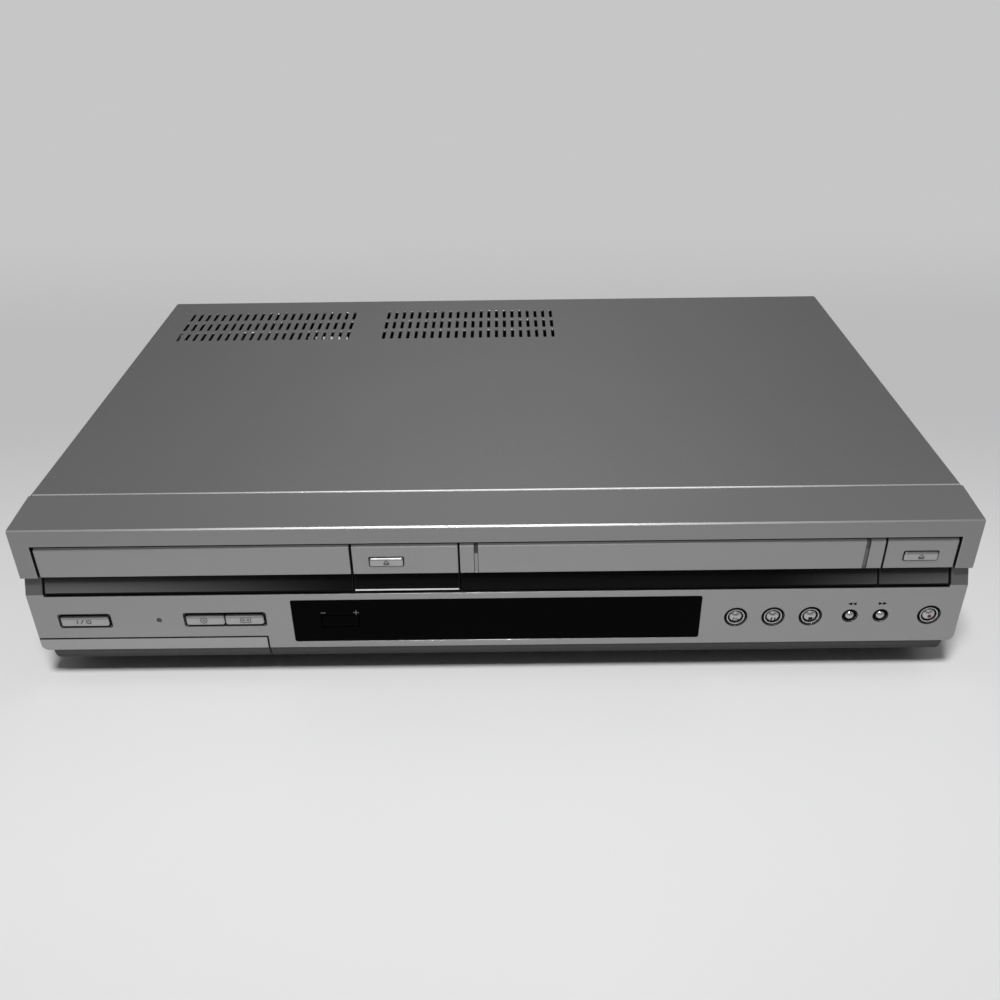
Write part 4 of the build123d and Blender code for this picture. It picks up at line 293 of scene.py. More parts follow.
fasciaLook = {
    "browEdge": 85.75, "browShadeTone": 0.78, "line": (-130.0, 60.0), "lineFade": 50.0, "lineTone": 0.9,
    "lineDepth": 0.9, "bayHalf": 207.4, "bayLow": 19.4, "bayHigh": 85.0, "bayDepth": 0.15,
    "bezelLow": 77.4, "bezelTone": 0.84, "postLow": 60.5, "groove": (51.1, 60.4), "grooveShadeTone": 0.66,
    "nicheX": (-209.0, -107.9), "nicheTop": 26.0, "nicheDepth": 0.9, "backDepth": 10.6,
    "bandTop": 19.0, "bandLow": 8.9, "bandTone": 0.2, "bandRough": 0.5,
}


def bandShade(paint):
    # painted shade: a factor that darkens the curved band towards its low edge, which faces the shadow under
    # the set
    look = fasciaLook
    band = paint.ease(paint.z, look["bandLow"], look["bandTop"], 0.0, look["bandTone"])
    above = paint.past(paint.z, look["bandTop"] - 0.175, 0.075)
    return band * (1 - above) + above


def fasciaPaint():
    look = fasciaLook
    silver = silverLook
    paint = Paint("fascia_silver")
    x, y, z = paint.x, paint.y, paint.z
    depth = y - faceY
    colour, grain, normal, rub = silverCoat(paint)
    # a painted highlight along the brow's front edge, strongest over the middle of the set
    line = paint.inside(z, look["browEdge"] - 0.2, look["browEdge"] + 0.3, 0.1) * (depth < look["lineDepth"])
    middle = paint.inside(x, *look["line"], look["lineFade"])
    colour = paint.mix(line * (0.04 + 0.18 * middle), colour, grey(look["lineTone"]))
    posts = (abs(x) > look["bayHalf"]) * (z > look["postLow"])
    bezel = paint.past(z, look["bezelLow"]).most(posts) * (z < look["browEdge"] - 0.3)
    colour = paint.dim(colour, look["bezelTone"], bezel)
    # painted shade: the sloping brow is darker than the face, though it is the same plastic
    colour = paint.dim(colour, look["browShadeTone"], z > look["browEdge"] + 0.3)
    # the curved band takes painted shade, and loses metal and gloss towards its low edge
    band = bandShade(paint)
    colour = paint.shade(colour, band)
    # painted shade: the set-back groove under the overhang is darker
    colour = paint.dim(colour, look["grooveShadeTone"], paint.inside(z, *look["groove"], 0.1))
    # walls of the bay, the key holes, the window's seat and the niche are dark
    behind = paint.past(depth, look["bayDepth"], 0.05) * paint.before(abs(x), look["bayHalf"])
    behind = behind * paint.inside(z, look["bayLow"], look["bayHigh"])
    niche = paint.inside(x, *look["nicheX"]) * paint.before(z, look["nicheTop"])
    niche = niche * (depth > look["nicheDepth"])
    under = paint.past(depth, look["backDepth"], 0.2) * (z < look["bayHigh"])
    dark = behind.most(niche).most(under)
    return paint.finish({
        "Base Color": paint.mix(dark, colour, grey(silver["dark"])),
        "Metallic": (1 - dark) * silver["metallic"] * band,
        "Roughness": silver["roughness"] + dark * 0.2 - rub * 0.12 + (1 - band) * look["bandRough"],
        "Normal": paint.relief(grain, silver["grainDepth"], normal),
    })


flapLook = {"tone": 1.16, "rimTop": 25.2, "rimRight": -108.0}


def flapPaint():
    # the pull-down door: silver where its skin faces out, bare black inside and on its edges
    look = flapLook
    silver = silverLook
    paint = Paint("jack_door")
    colour, grain, normal, rub = silverCoat(paint)
    # its top and its right edge end in a dark line
    rim = paint.past(paint.z, look["rimTop"]).most(paint.past(paint.x, look["rimRight"]))
    # the curved band takes painted shade, and loses metal and gloss towards its low edge
    band = bandShade(paint)
    colour = paint.mix(rim, paint.shade(colour, band * look["tone"]), grey(silver["dark"]))
    way = paint.parts(paint.node("TexCoord", output="Normal"))
    out = paint.before(way[1], -0.15, 0.05).most(paint.before(way[2], -0.75, 0.05))
    rough = (1 - out) * 0.2 - rub * 0.12 + (1 - band) * fasciaLook["bandRough"]
    return paint.finish({
        "Base Color": paint.mix(out, grey(silver["dark"]), colour),
        "Metallic": out * silver["metallic"] * band,
        "Roughness": silver["roughness"] + rough,
        "Normal": paint.relief(grain, silver["grainDepth"], normal),
    })


# doors and blocks: silver above, with the slanted glossy strip below, whose near-black colour is painted
# shade and painted reflection
stripLook = {
    "top": 60.45, "bottom": 51.1, "slant": 0.447, "skin": 0.85, "roughness": 0.22, "gloss": 0.25,
    "tone": 0.002, "lowTone": 0.006, "endReflectionTone": 0.028, "endLowReflectionTone": 0.15, "leftEnd": (-220.0, -60.0),
    "rightEnd": (120.0, 230.0), "highlightTone": 0.9, "highlightLine": (0.25, 0.85), "rimTone": 0.004, "rim": 0.6,
    "doorSkin": 2.6, "doorTop": 75.9, "shadeDrop": 0.75, "shade": 0.8, "sideEdge": 0.3,
}
slotLook = {
    "places": (-8.6, 166.2), "half": 1.0, "line": 0.25, "floorTop": 70.7, "lineTone": 0.05, "floorTone": 0.07,
    "rightTone": 0.1,
}


def slotShade(paint, colour):
    # two upright grooves: dark at their tops, then a pale floor inside a thin outline
    look = slotLook
    half = look["half"]
    for place in look["places"]:
        off = abs(paint.x - place)
        floor = paint.past(paint.z, look["floorTop"], 0.3)
        outline = paint.inside(off, half - look["line"], half) * (1 - floor)
        inner = paint.before(off, half, 0.05)
        colour = paint.mix(inner * floor, colour, grey(look["floorTone"]))
        colour = paint.mix(outline, colour, grey(look["lineTone"]))
        if place > 0:
            colour = paint.mix(inner * 0.75, colour, grey(look["rightTone"]))
    return colour


def stripShadeAndReflection(paint, highlightLine):
    # painted shade and painted reflection: the strip is blackest at its top, under the overhang, and paler
    # towards the two ends of the set
    look = stripLook
    x, z = paint.x, paint.z
    rise = paint.ease(z, look["bottom"], look["top"])
    stripShadeColour = paint.mix(rise, grey(look["lowTone"]), grey(look["tone"]))
    pale = paint.mix(rise, grey(look["endLowReflectionTone"]), grey(look["endReflectionTone"]))
    ends = paint.ease(x, *look["leftEnd"], 1.0, 0.0).most(paint.ease(x, *look["rightEnd"], 0.0, 0.9))
    stripShadeColour = paint.mix(ends, stripShadeColour, pale)
    # the centre block's strip ends in a painted highlight along its low edge
    if highlightLine:
        low, high = (look["bottom"] + height for height in look["highlightLine"])
        return paint.mix(paint.inside(z, low, high, 0.08), stripShadeColour, grey(look["highlightTone"]))
    return paint.mix(paint.before(z, look["bottom"] + look["rim"]), stripShadeColour, grey(look["rimTone"]))


def doorPaint(name, highlightLine=False, grooves=False):
    look = stripLook
    silver = silverLook
    paint = Paint(name)
    x, z = paint.x, paint.z
    depth = paint.y - faceY
    colour, grain, normal, rub = silverCoat(paint)
    if grooves:
        colour = slotShade(paint, colour)
    # the rounded top edge lies in the shade of the bay
    topShade = paint.past(z, look["doorTop"] - look["shadeDrop"], 0.15)
    colour = paint.dim(colour, look["shade"], topShade)
    # the strip below is painted near black, as painted shade and painted reflection
    inStrip = paint.before(z, look["top"], 0.05)
    colour = paint.mix(inStrip, colour, stripShadeAndReflection(paint, highlightLine))
    # the silver wraps a little way round the edge, and the rest is bare black plastic; the black along the
    # top of the face is painted shade that widens the gap under the bay
    behindFace = paint.past(depth, look["doorSkin"]) * (1 - inStrip)
    behindStrip = paint.past(depth - (z - look["bottom"]) * look["slant"], look["skin"]) * inStrip
    topGapShade = paint.past(z, look["doorTop"])
    low, high = (corner.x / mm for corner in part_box(name))
    sideEdge = paint.past(abs(x - (low + high) / 2), (high - low) / 2 - look["sideEdge"], 0.05)
    dark = behindFace.most(behindStrip).most(topGapShade).most(sideEdge)
    return paint.finish({
        "Base Color": paint.mix(dark, colour, grey(silver["dark"])),
        "Metallic": (1 - dark) * (1 - inStrip * 0.6) * silver["metallic"],
        "Roughness": silver["roughness"] - inStrip * (silver["roughness"] - look["roughness"]) + dark * 0.2,
        "Specular IOR Level": look["gloss"],
        "Normal": paint.relief(grain * (1 - inStrip), silver["grainDepth"], normal),
    })


keyLook = {
    "tone": 0.4, "metallic": 0.85, "roughness": 0.27, "grain": 0.25, "dark": 0.008, "flange": 1.3,
    "edge": 0.25, "bevel": 0.25, "bevelShadeTone": 0.72, "creaseShade": 0.05, "bright": 0.7, "skin": 1.05,
    "roundTone": 0.48, "roundRoughness": 0.19, "roundSkin": 0.4,
}


def keyPaint(name):
    # a long key: a darker slope along its top with a dark crease at its foot, a lighter front under it, and a
    # black rim; the slope's darkness, the crease and the rim are painted shade
    look = keyLook
    paint = Paint(name)
    y, z = paint.y, paint.z
    low, high = (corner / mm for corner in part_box(name))
    centreZ = (low.z + high.z) / 2
    half = (high.z - low.z) / 2 - look["flange"]
    grain = paint.noise(look["grain"], 2.0)
    normal, edge = paint.rounded(look["edge"])
    slope = centreZ + half * (1 - 2 * look["bevel"])
    colour = paint.shade(grey(look["tone"]), 0.94 + 0.1 * grain)
    colour = paint.dim(colour, look["bevelShadeTone"], paint.past(z, slope, 0.06))
    creaseShade = paint.inside(z, slope - 0.12, slope + 0.08)
    colour = paint.mix(creaseShade * 0.5, colour, grey(look["creaseShade"]))
    colour = paint.mix(edge * 0.3, colour, grey(look["bright"]))
    rim = paint.past(abs(z - centreZ), half - 0.35, 0.05)
    dark = paint.past(y, low.y + look["skin"], 0.05).most(rim)
    return paint.finish({
        "Base Color": paint.mix(dark, colour, grey(look["dark"])), "Metallic": (1 - dark) * look["metallic"],
        "Roughness": look["roughness"] + dark * 0.3 + 0.05 * grain,
        "Normal": paint.relief(grain, 0.004, normal),
    })


def roundKeyPaint():
    # bright metal where the key faces forward, and black on its sides and in its groove, where the black is
    # painted shade
    look = keyLook
    paint = Paint("round_key")
    grain = paint.noise(look["grain"], 2.0)
    dark = paint.past(paint.y - faceY, look["roundSkin"])
    colour = paint.shade(grey(look["roundTone"]), 0.92 + 0.14 * grain)
    return paint.finish({
        "Base Color": paint.mix(dark, colour, grey(look["dark"])), "Metallic": (1 - dark) * look["metallic"],
        "Roughness": look["roundRoughness"] + dark * 0.3 + 0.04 * grain, "Normal": paint.relief(grain, 0.002),
    })


windowLook = {"tone": 0.0012, "scratchTone": 0.008, "roughness": 0.09, "gloss": 0.02, "haze": 30.0}


def windowGloss():
    look = windowLook
    paint = Paint("window_black")
    haze = paint.noise(look["haze"], 4.0)
    scratch = paint.ease(paint.noise(1.0, 1.0, (9.0, 1.0, 0.25)), 0.72, 0.8)
    return paint.finish({
        "Base Color": paint.mix(scratch * 0.2, grey(look["tone"]), grey(look["scratchTone"])),
        "Roughness": look["roughness"] + 0.07 * haze, "Specular IOR Level": look["gloss"],
        "Normal": paint.relief(haze, 0.002),
    })


def lampGloss():
    paint = Paint("lamp_red")
    rings = paint.noise(0.6, 1.0)
    colour = paint.mix(rings, (0.05, 0.004, 0.004, 1.0), (0.02, 0.004, 0.004, 1.0))
    return paint.finish({"Base Color": colour, "Roughness": 0.15 + 0.1 * rings, "Coat Weight": 0.6})


tubeLook = {
    "pitch": 4.2, "digit": (0.2, 0.8), "rows": (30.0, 39.0), "glass": (0.02, 0.024, 0.024, 1.0),
    "segment": (0.1, 0.12, 0.12, 1.0),
}


def tubeGlass():
    # the display's dark glass with its grid of pale segments behind it
    look = tubeLook
    paint = Paint("tube_glass")
    column = paint.stripes(paint.x, look["pitch"])
    segments = paint.inside(column, *look["digit"], 0.03) * paint.inside(paint.z, *look["rows"], 0.2)
    colour = paint.mix(segments * 0.5, look["glass"], look["segment"])
    return paint.finish({"Base Color": colour, "Roughness": 0.12 + segments * 0.1, "Coat Weight": 0.4})


# finishes of the inside and the back

steelLook = {
    "bare_steel": {"tone": 0.5, "warmth": 0.02, "roughness": 0.4, "spangle": 6.0, "brush": 0.0},
    "polished_steel": {"tone": 0.7, "warmth": 0.0, "roughness": 0.16, "spangle": 0.0, "brush": 0.5},
    "screw_steel": {"tone": 0.45, "warmth": 0.01, "roughness": 0.3, "spangle": 0.8, "brush": 0.0},
    "drum_alloy": {"tone": 0.72, "warmth": 0.005, "roughness": 0.24, "spangle": 0.0, "brush": 0.8},
    "nickel": {"tone": 0.62, "warmth": 0.03, "roughness": 0.2, "spangle": 0.6, "brush": 0.0},
}


def steel(name, inner=None):
    # inner is a plane in Y, in front of which the sheet is painted dark and dull, a painted shade
    look = steelLook[name]
    paint = Paint(name if inner is None else name + "_inner_shade")
    fine = paint.noise(0.5, 3.0)
    amount = 0.93 + 0.1 * fine
    if look["spangle"]:
        amount = amount + 0.1 * (paint.cells(look["spangle"], "Red") - 0.5)
    lines = paint.noise(0.2, 2.0, (60.0, 60.0, 1.0))
    height = fine * (1 - look["brush"]) + lines * look["brush"]
    normal, edge = paint.rounded(0.2)
    colour = paint.shade(grey(look["tone"], look["warmth"]), amount)
    colour = paint.mix(edge * 0.3, colour, grey(0.8))
    stainsAndInnerShade = paint.ease(paint.noise(24.0, 4.0), 0.55, 0.8)
    # the random stains are real; in front of the inner plane the sheet also takes painted shade
    if inner is not None:
        stainsAndInnerShade = stainsAndInnerShade.most(6.5 * (paint.y < inner))
    return paint.finish({
        "Base Color": paint.shade(colour, 1 - 0.12 * stainsAndInnerShade), "Metallic": 1.0,
        "Roughness": look["roughness"] + 0.12 * stainsAndInnerShade + 0.06 * height,
        "Normal": paint.relief(height, 0.006, normal),
    })


mouldedLook = {
    "black_plastic": {"colour": (0.016, 0.016, 0.017, 1.0), "roughness": 0.5, "grain": 0.5, "depth": 0.02},
    "grey_plastic": {"colour": (0.42, 0.42, 0.4, 1.0), "roughness": 0.42, "grain": 0.8, "depth": 0.006},
    "foot_rubber": {"colour": (0.02, 0.02, 0.021, 1.0), "roughness": 0.75, "grain": 0.4, "depth": 0.04},
    "belt_rubber": {"colour": (0.015, 0.015, 0.015, 1.0), "roughness": 0.7, "grain": 0.3, "depth": 0.02},
    "roller_rubber": {"colour": (0.03, 0.03, 0.03, 1.0), "roughness": 0.6, "grain": 0.2, "depth": 0.01},
    "coil_yellow": {"colour": (0.62, 0.45, 0.06, 1.0), "roughness": 0.45, "grain": 1.2, "depth": 0.03},
}


def moulded(name):
    look = mouldedLook[name]
    paint = Paint(name)
    grain = paint.noise(look["grain"], 3.0)
    cloud = paint.noise(18.0, 3.0)
    dust = paint.ease(paint.noise(5.0, 5.0), 0.6, 0.85)
    normal, edge = paint.rounded(0.3)
    colour = paint.shade(look["colour"], 0.85 + 0.3 * cloud)
    colour = paint.mix(dust * 0.12 + edge * 0.06, colour, grey(0.4, 0.03))
    return paint.finish({
        "Base Color": colour, "Roughness": look["roughness"] + 0.15 * (grain - 0.5) + 0.1 * dust,
        "Normal": paint.relief(grain, look["depth"], normal),
    })


boardLook = {
    "laminate": (0.27, 0.15, 0.06, 1.0), "track": (0.36, 0.24, 0.1, 1.0), "pitch": 2.5, "run": 16.0,
    "standing": 21.95, "partSize": 26.0, "black": 0.02, "sleeve": (0.03, 0.034, 0.045, 1.0),
}


def boardLaminate():
    # brown laminate with pale tracks; whatever stands on it is black or slate
    look = boardLook
    paint = Paint("board_brown")
    across = abs(paint.stripes(paint.x, look["pitch"]) - 0.5)
    along = paint.noise(look["run"], 1.0, (1.0, 3.0, 1.0))
    track = paint.ease(across, 0.3, 0.36) * paint.ease(along, 0.5, 0.53)
    colour = paint.mix(track * 0.5, look["laminate"], look["track"])
    part = paint.mix(paint.cells(look["partSize"], "Green") > 0.6, grey(look["black"]), look["sleeve"])
    colour = paint.mix(paint.past(paint.z, look["standing"], 0.05), colour, part)
    grain = paint.noise(0.8, 3.0)
    return paint.finish({
        "Base Color": paint.shade(colour, 0.9 + 0.2 * grain), "Roughness": 0.42 + 0.15 * grain,
        "Normal": paint.relief(track, 0.03),
    })


def ribbonFoil():
    paint = Paint("ribbon_white")
    line = paint.inside(paint.stripes(paint.x, 1.0), 0.3, 0.7, 0.08)
    colour = paint.mix(line * 0.6, grey(0.78, 0.01), grey(0.45, 0.01))
    return paint.finish({
        "Base Color": colour, "Roughness": 0.35 + 0.1 * line, "Normal": paint.relief(line, 0.03),
    })


def plainInk(name, colour, roughness=0.5, gloss=0.5):
    paint = Paint(name)
    patch = paint.noise(0.35, 2.0)
    return paint.finish({
        "Base Color": paint.shade(colour, 0.85 + 0.3 * patch), "Roughness": roughness + 0.1 * patch,
        "Specular IOR Level": gloss,
    })


print("scene: finishes")
finishes = {
    "cover_paint": coverPaint(),
    "fascia_silver": fasciaPaint(),
    "key_silver": plainInk("key_silver", grey(keyLook["tone"])),
    "window_black": windowGloss(),
    "tube_glass": tubeGlass(),
    "lamp_red": lampGloss(),
    "board_brown": boardLaminate(),
    "ribbon_white": ribbonFoil(),
}
finishes.update({name: steel(name) for name in steelLook})
finishes.update({name: moulded(name) for name in mouldedLook})
ownFinish = {name: doorPaint(name) for name in ("tray_front", "right_block")}
ownFinish["cassette_door"] = doorPaint("cassette_door", grooves=True)
ownFinish["centre_block"] = doorPaint("centre_block", highlightLine=True)
ownFinish["jack_door"] = flapPaint()
ownFinish["rear_panel"] = steel("bare_steel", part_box("rear_panel")[1].y / mm - 0.3)
ejectKeys = ("disc_eject_button", "tape_eject_button")
longKeys = ("power_button", "select_disc_button", "select_tape_button") + ejectKeys
ownFinish.update({name: keyPaint(name) for name in longKeys})

for part in frame["record"]["subparts"]:
    name = part["node"]
    for holder in cadNodes[name].material_slots:
        holder.material = ownFinish.get(name) or finishes[part["material_slot"]]


# pieces made here

def addPiece(name, bm, finish, body):
    mesh = bpy.data.meshes.new(name)
    bm.to_mesh(mesh)
    bm.free()
    piece = bpy.data.objects.new(name, mesh)
    bpy.context.scene.collection.objects.link(piece)
    mesh.materials.append(finish)
    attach(piece, body)
    return piece


def lathe(bm, centre, profile, facing, steps=32):
    # turns (radius, height) points about an axis that leaves the centre along facing
    turn = Vector((0, 0, 1)).rotation_difference(Vector(facing)).to_matrix()
    rings = []
    for radius, height in profile:
        ring = []
        for step in range(steps if radius > 0 else 1):
            angle = 2 * math.pi * step / steps
            point = turn @ Vector((radius * math.cos(angle), radius * math.sin(angle), height))
            ring.append(bm.verts.new((point + Vector(centre)) * mm))
        rings.append(ring)
    for lower, upper in zip(rings, rings[1:]):
        for step in range(steps):
            after = (step + 1) % steps
            pair = ((lower, step), (lower, after), (upper, after), (upper, step))
            corners = list(dict.fromkeys(ring[index % len(ring)] for ring, index in pair))
            if len(corners) > 2:
                bm.faces.new(corners).smooth = True


# round keys with a smooth dome, in the place of their plain solids
roundLook = {
    "names": (
        "play_button", "pause_button", "stop_button", "record_button", "rewind_button", "forward_button",
    ),
    "flange": 1.3, "flangeThick": 1.2, "ring": 0.6, "groove": 0.4, "grooveDepth": 0.5, "largeFrom": 3.0,
    "rise": 1.65, "lip": 0.8, "corner": 0.18, "steps": 12,
}
dressed = {}


def makeRoundKeys():
    look = roundLook
    finish = roundKeyPaint()
    for name in look["names"]:
        low, high = (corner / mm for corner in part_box(name))
        centre = ((low.x + high.x) / 2, high.y, (low.z + high.z) / 2)
        height = high.y - low.y
        flange = (high.x - low.x) / 2
        cap = flange - look["flange"]
        large = cap > look["largeFrom"]
        crown = cap - look["ring"] - look["groove"] if large else cap - look["corner"]
        foot = height - look["rise"]
        corner = look["corner"]
        thick = look["flangeThick"]
        profile = [(0, 0), (flange, 0), (flange, thick), (cap, thick)]
        if large:
            # a raised ring round the dome, with a groove between them
            ring = cap - look["ring"]
            lip = height - look["lip"]
            floor = foot - look["grooveDepth"]
            profile += [(cap, lip - corner), (cap - corner / 3, lip - corner / 3), (cap - corner, lip)]
            profile += [(ring + corner, lip), (ring, lip - corner)]
            profile += [(ring - 0.02, floor), (crown + 0.02, floor)]
        else:
            profile.append((cap, foot - corner))
        # the dome is a round cap of the sphere through its rim and its top
        sphere = (crown ** 2 + look["rise"] ** 2) / (2 * look["rise"])
        reach = math.asin(crown / sphere)
        for step in range(look["steps"], -1, -1):
            angle = reach * step / look["steps"]
            profile.append((sphere * math.sin(angle), height - sphere * (1 - math.cos(angle))))
        bm = bmesh.new()
        lathe(bm, centre, profile, (0, -1, 0), 48)
        bmesh.ops.recalc_face_normals(bm, faces=bm.faces)
        key = addPiece(name + "_turned", bm, finish, name)
        key.data.set_sharp_from_angle(angle=math.radians(35))
        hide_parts(name)
        dressed[name] = key


print("scene: round keys")
makeRoundKeys()


# printed marks lie on the surface of the piece that carries them
markLook = {"lift": 0.04, "stroke": 0.42, "steps": 28}


def arc(x, z, radius, start, sweep, steps):
    # points on a circle; a full turn doesn't repeat its first point
    count = steps if sweep == 360 else steps + 1
    angles = (math.radians(start + sweep * step / steps) for step in range(count))
    return [(x + radius * math.cos(angle), z + radius * math.sin(angle)) for angle in angles]


class Mark:
    # a flat sign laid on the front of one piece
    def __init__(self, carrier):
        mesh = dressed.get(carrier, cadNodes[carrier]).data
        self.carrier = carrier
        self.tree = BVHTree.FromPolygons([v.co for v in mesh.vertices], [p.vertices for p in mesh.polygons])
        self.bm = bmesh.new()

    def surface(self, x, z):
        hit = self.tree.ray_cast(Vector((x * mm, cadBounds[0][1] - mm, z * mm)), Vector((0, 1, 0)))[0]
        return Vector((hit.x, max(hit.y - markLook["lift"] * mm, cadBounds[0][1]), hit.z))

    def point(self, x, z):
        return self.bm.verts.new(self.surface(x, z))

    def face(self, points):
        # points run anticlockwise as seen from the front
        self.bm.faces.new([self.point(x, z) for x, z in points])

    def band(self, points, stroke=None, closed=True):
        # a line of even width with mitred corners
        half = (stroke or markLook["stroke"]) / 2
        count = len(points)
        sides = []
        for index, (x, z) in enumerate(points):
            here = Vector((x, z))
            runs = []
            if closed or index:
                runs.append((here - Vector(points[index - 1])).normalized())
            if closed or index < count - 1:
                runs.append((Vector(points[(index + 1) % count]) - here).normalized())
            along = sum(runs, Vector((0, 0))).normalized()
            reach = half / max(along.dot(runs[0]), 0.3)
            across = Vector((-along.y, along.x)) * reach
            sides.append((self.point(*(here + across)), self.point(*(here - across))))
        nextSides = sides[1:] + sides[:1] if closed else sides[1:]
        for (leftA, rightA), (leftB, rightB) in zip(sides, nextSides):
            self.bm.faces.new((rightA, rightB, leftB, leftA))

    def disc(self, x, z, radius):
        middle = self.point(x, z)
        rim = [self.point(*place) for place in arc(x, z, radius, 0, 360, markLook["steps"])]
        for first, second in zip(rim, rim[1:] + rim[:1]):
            self.bm.faces.new((middle, first, second))

    def ring(self, x, z, radius, gap=0.0, stroke=None):
        # a circle, open at its top over a gap of that many degrees
        points = arc(x, z, radius, 90 + gap / 2, 360 - gap, markLook["steps"])
        self.band(points, stroke, closed=gap == 0)

    def bar(self, left, low, right, high):
        self.face([(left, low), (right, low), (right, high), (left, high)])

    def place(self, name, ink, body, slot):
        # finer faces follow a domed surface
        if self.carrier in dressed:
            bmesh.ops.subdivide_edges(self.bm, edges=self.bm.edges[:], cuts=3, use_grid_fill=True)
            for vert in self.bm.verts:
                vert.co = self.surface(vert.co.x / mm, vert.co.z / mm)
        return addPiece(name, self.bm, ink, body)


def centreOf(name):
    low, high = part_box(name)
    return (low.x + high.x) / 2 / mm, (low.z + high.z) / 2 / mm


inks = {
    "dark": plainInk("printed_dark", grey(0.003), gloss=0.05),
    "pale": plainInk("printed_pale", grey(0.28)),
    "red": plainInk("printed_red", (0.09, 0.008, 0.012, 1.0)),
}

symbolLook = {
    "power": 1.0, "powerSteps": (-3.4, -1.9, -0.5, 1.9), "play": 1.25, "drop": 0.9,
    "arrow": 2.0, "arrowHigh": 0.85, "arrowRise": 6.9, "eject": 1.25,
    "channelRise": 5.0, "minus": (-8.8, -6.6), "plus": (6.3, 8.9),
}


def powerSymbol():
    # an upright, a slanted stroke, and a ring with a stem in its gap
    x, z = centreOf("power_button")
    size = symbolLook["power"]
    upright, foot, tip, ring = (x + step for step in symbolLook["powerSteps"])
    mark = Mark("power_button")
    mark.band([(upright, z - size), (upright, z + size)], closed=False)
    mark.band([(foot, z - size), (tip, z + size)], closed=False)
    mark.ring(ring, z, size, gap=70)
    mark.band([(ring, z + 0.1), (ring, z + size * 1.2)], closed=False)
    mark.place("power_symbol", inks["dark"], "power_button", "key_silver")


def selectSymbols():
    # a disc and a cassette, in the place of words
    x, z = centreOf("select_disc_button")
    disc = Mark("select_disc_button")
    disc.ring(x, z, 1.45, stroke=0.34)
    disc.ring(x, z, 0.4, stroke=0.3)
    disc.place("disc_symbol", inks["dark"], "select_disc_button", "key_silver")
    x, z = centreOf("select_tape_button")
    tape = Mark("select_tape_button")
    tape.band([(x - 2.3, z - 1.3), (x + 2.3, z - 1.3), (x + 2.3, z + 1.3), (x - 2.3, z + 1.3)], stroke=0.32)
    for shift in (-1.0, 1.0):
        tape.ring(x + shift, z, 0.45, stroke=0.3)
    tape.place("tape_symbol", inks["dark"], "select_tape_button", "key_silver")


def transportSymbols():
    size = symbolLook["play"]
    low = symbolLook["drop"]  # the marks stand a little under the middle of the crown
    x, z = centreOf("play_button")
    play = Mark("play_button")
    z -= low
    play.band([(x - size, z - 0.95), (x + size * 1.2, z), (x - size, z + 0.95)], stroke=0.34)
    play.place("play_symbol", inks["dark"], "play_button", "key_silver")
    x, z = centreOf("pause_button")
    pause = Mark("pause_button")
    z -= low
    for middle in (x - 0.75, x + 0.75):
        pause.bar(middle - 0.3, z - 0.95, middle + 0.3, z + 0.95)
    pause.place("pause_symbol", inks["dark"], "pause_button", "key_silver")
    x, z = centreOf("stop_button")
    stop = Mark("stop_button")
    z -= low
    stop.bar(x - 0.95, z - 0.9, x + 0.95, z + 0.9)
    stop.place("stop_symbol", inks["dark"], "stop_button", "key_silver")
    x, z = centreOf("record_button")
    record = Mark("record_button")
    record.disc(x, z - 0.3, 0.95)
    record.place("record_symbol", inks["red"], "record_button", "key_silver")


def windSymbols():
    # pairs of arrows printed on the fascia over the two small keys
    mark = Mark("front_panel")
    wide = symbolLook["arrow"]
    high = symbolLook["arrowHigh"]
    for key, way in (("rewind_button", -1), ("forward_button", 1)):
        x, z = centreOf(key)
        z += symbolLook["arrowRise"]
        for start in (-wide, 0.0):
            first, last = (x + start, x + start + wide) if way > 0 else (x - start, x - start - wide)
            corners = [(first, z - high), (last, z), (first, z + high)]
            mark.face(corners if way > 0 else corners[::-1])
    mark.place("wind_symbols", inks["dark"], "case", "fascia_silver")


def ejectSymbols():
    size = symbolLook["eject"]
    for key in ejectKeys:
        x, z = centreOf(key)
        mark = Mark(key)
        mark.band([(x - size, z - 0.4), (x + size, z - 0.4), (x, z + 1.15)], stroke=0.28)
        mark.band([(x - size, z - 1.1), (x + size, z - 1.1)], stroke=0.42, closed=False)
        mark.place(key + "_symbol", inks["dark"], key, "key_silver")


holeShadeLook = {"play": 0.7, "flange": 1.3, "width": 0.5, "corner": 0.9, "clear": 0.03}


def roundedFrame(left, low, right, high, radius):
    # a rectangle with round corners, anticlockwise from its upper right one
    inner = (left + radius, low + radius, right - radius, high - radius)
    centres = ((inner[2], inner[3]), (inner[0], inner[3]), (inner[0], inner[1]), (inner[2], inner[1]))
    return [point for turn, centre in enumerate(centres) for point in arc(*centre, radius, 90 * turn, 90, 4)]


def keyHoleShade():
    # painted shade: black rings round the holes that the keys stand in, where the gaps lie in shade
    look = holeShadeLook
    outer = look["play"] - look["flange"] + look["width"] / 2 + look["clear"]
    frames = (("power_button", "power_button"), ("select_disc_button", "select_tape_button"))
    mark = Mark("front_panel")
    for first, last in frames:
        low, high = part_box(first)[0] / mm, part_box(last)[1] / mm
        corners = (low.x - outer, low.z - outer, high.x + outer, high.z + outer)
        mark.band(roundedFrame(*corners, look["corner"]), look["width"])
    for name in roundLook["names"]:
        x, z = centreOf(name)
        low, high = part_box(name)
        mark.ring(x, z, (high.x - low.x) / 2 / mm + outer, stroke=look["width"])
    mark.place("key_hole_shade", inks["dark"], "case", "fascia_silver")


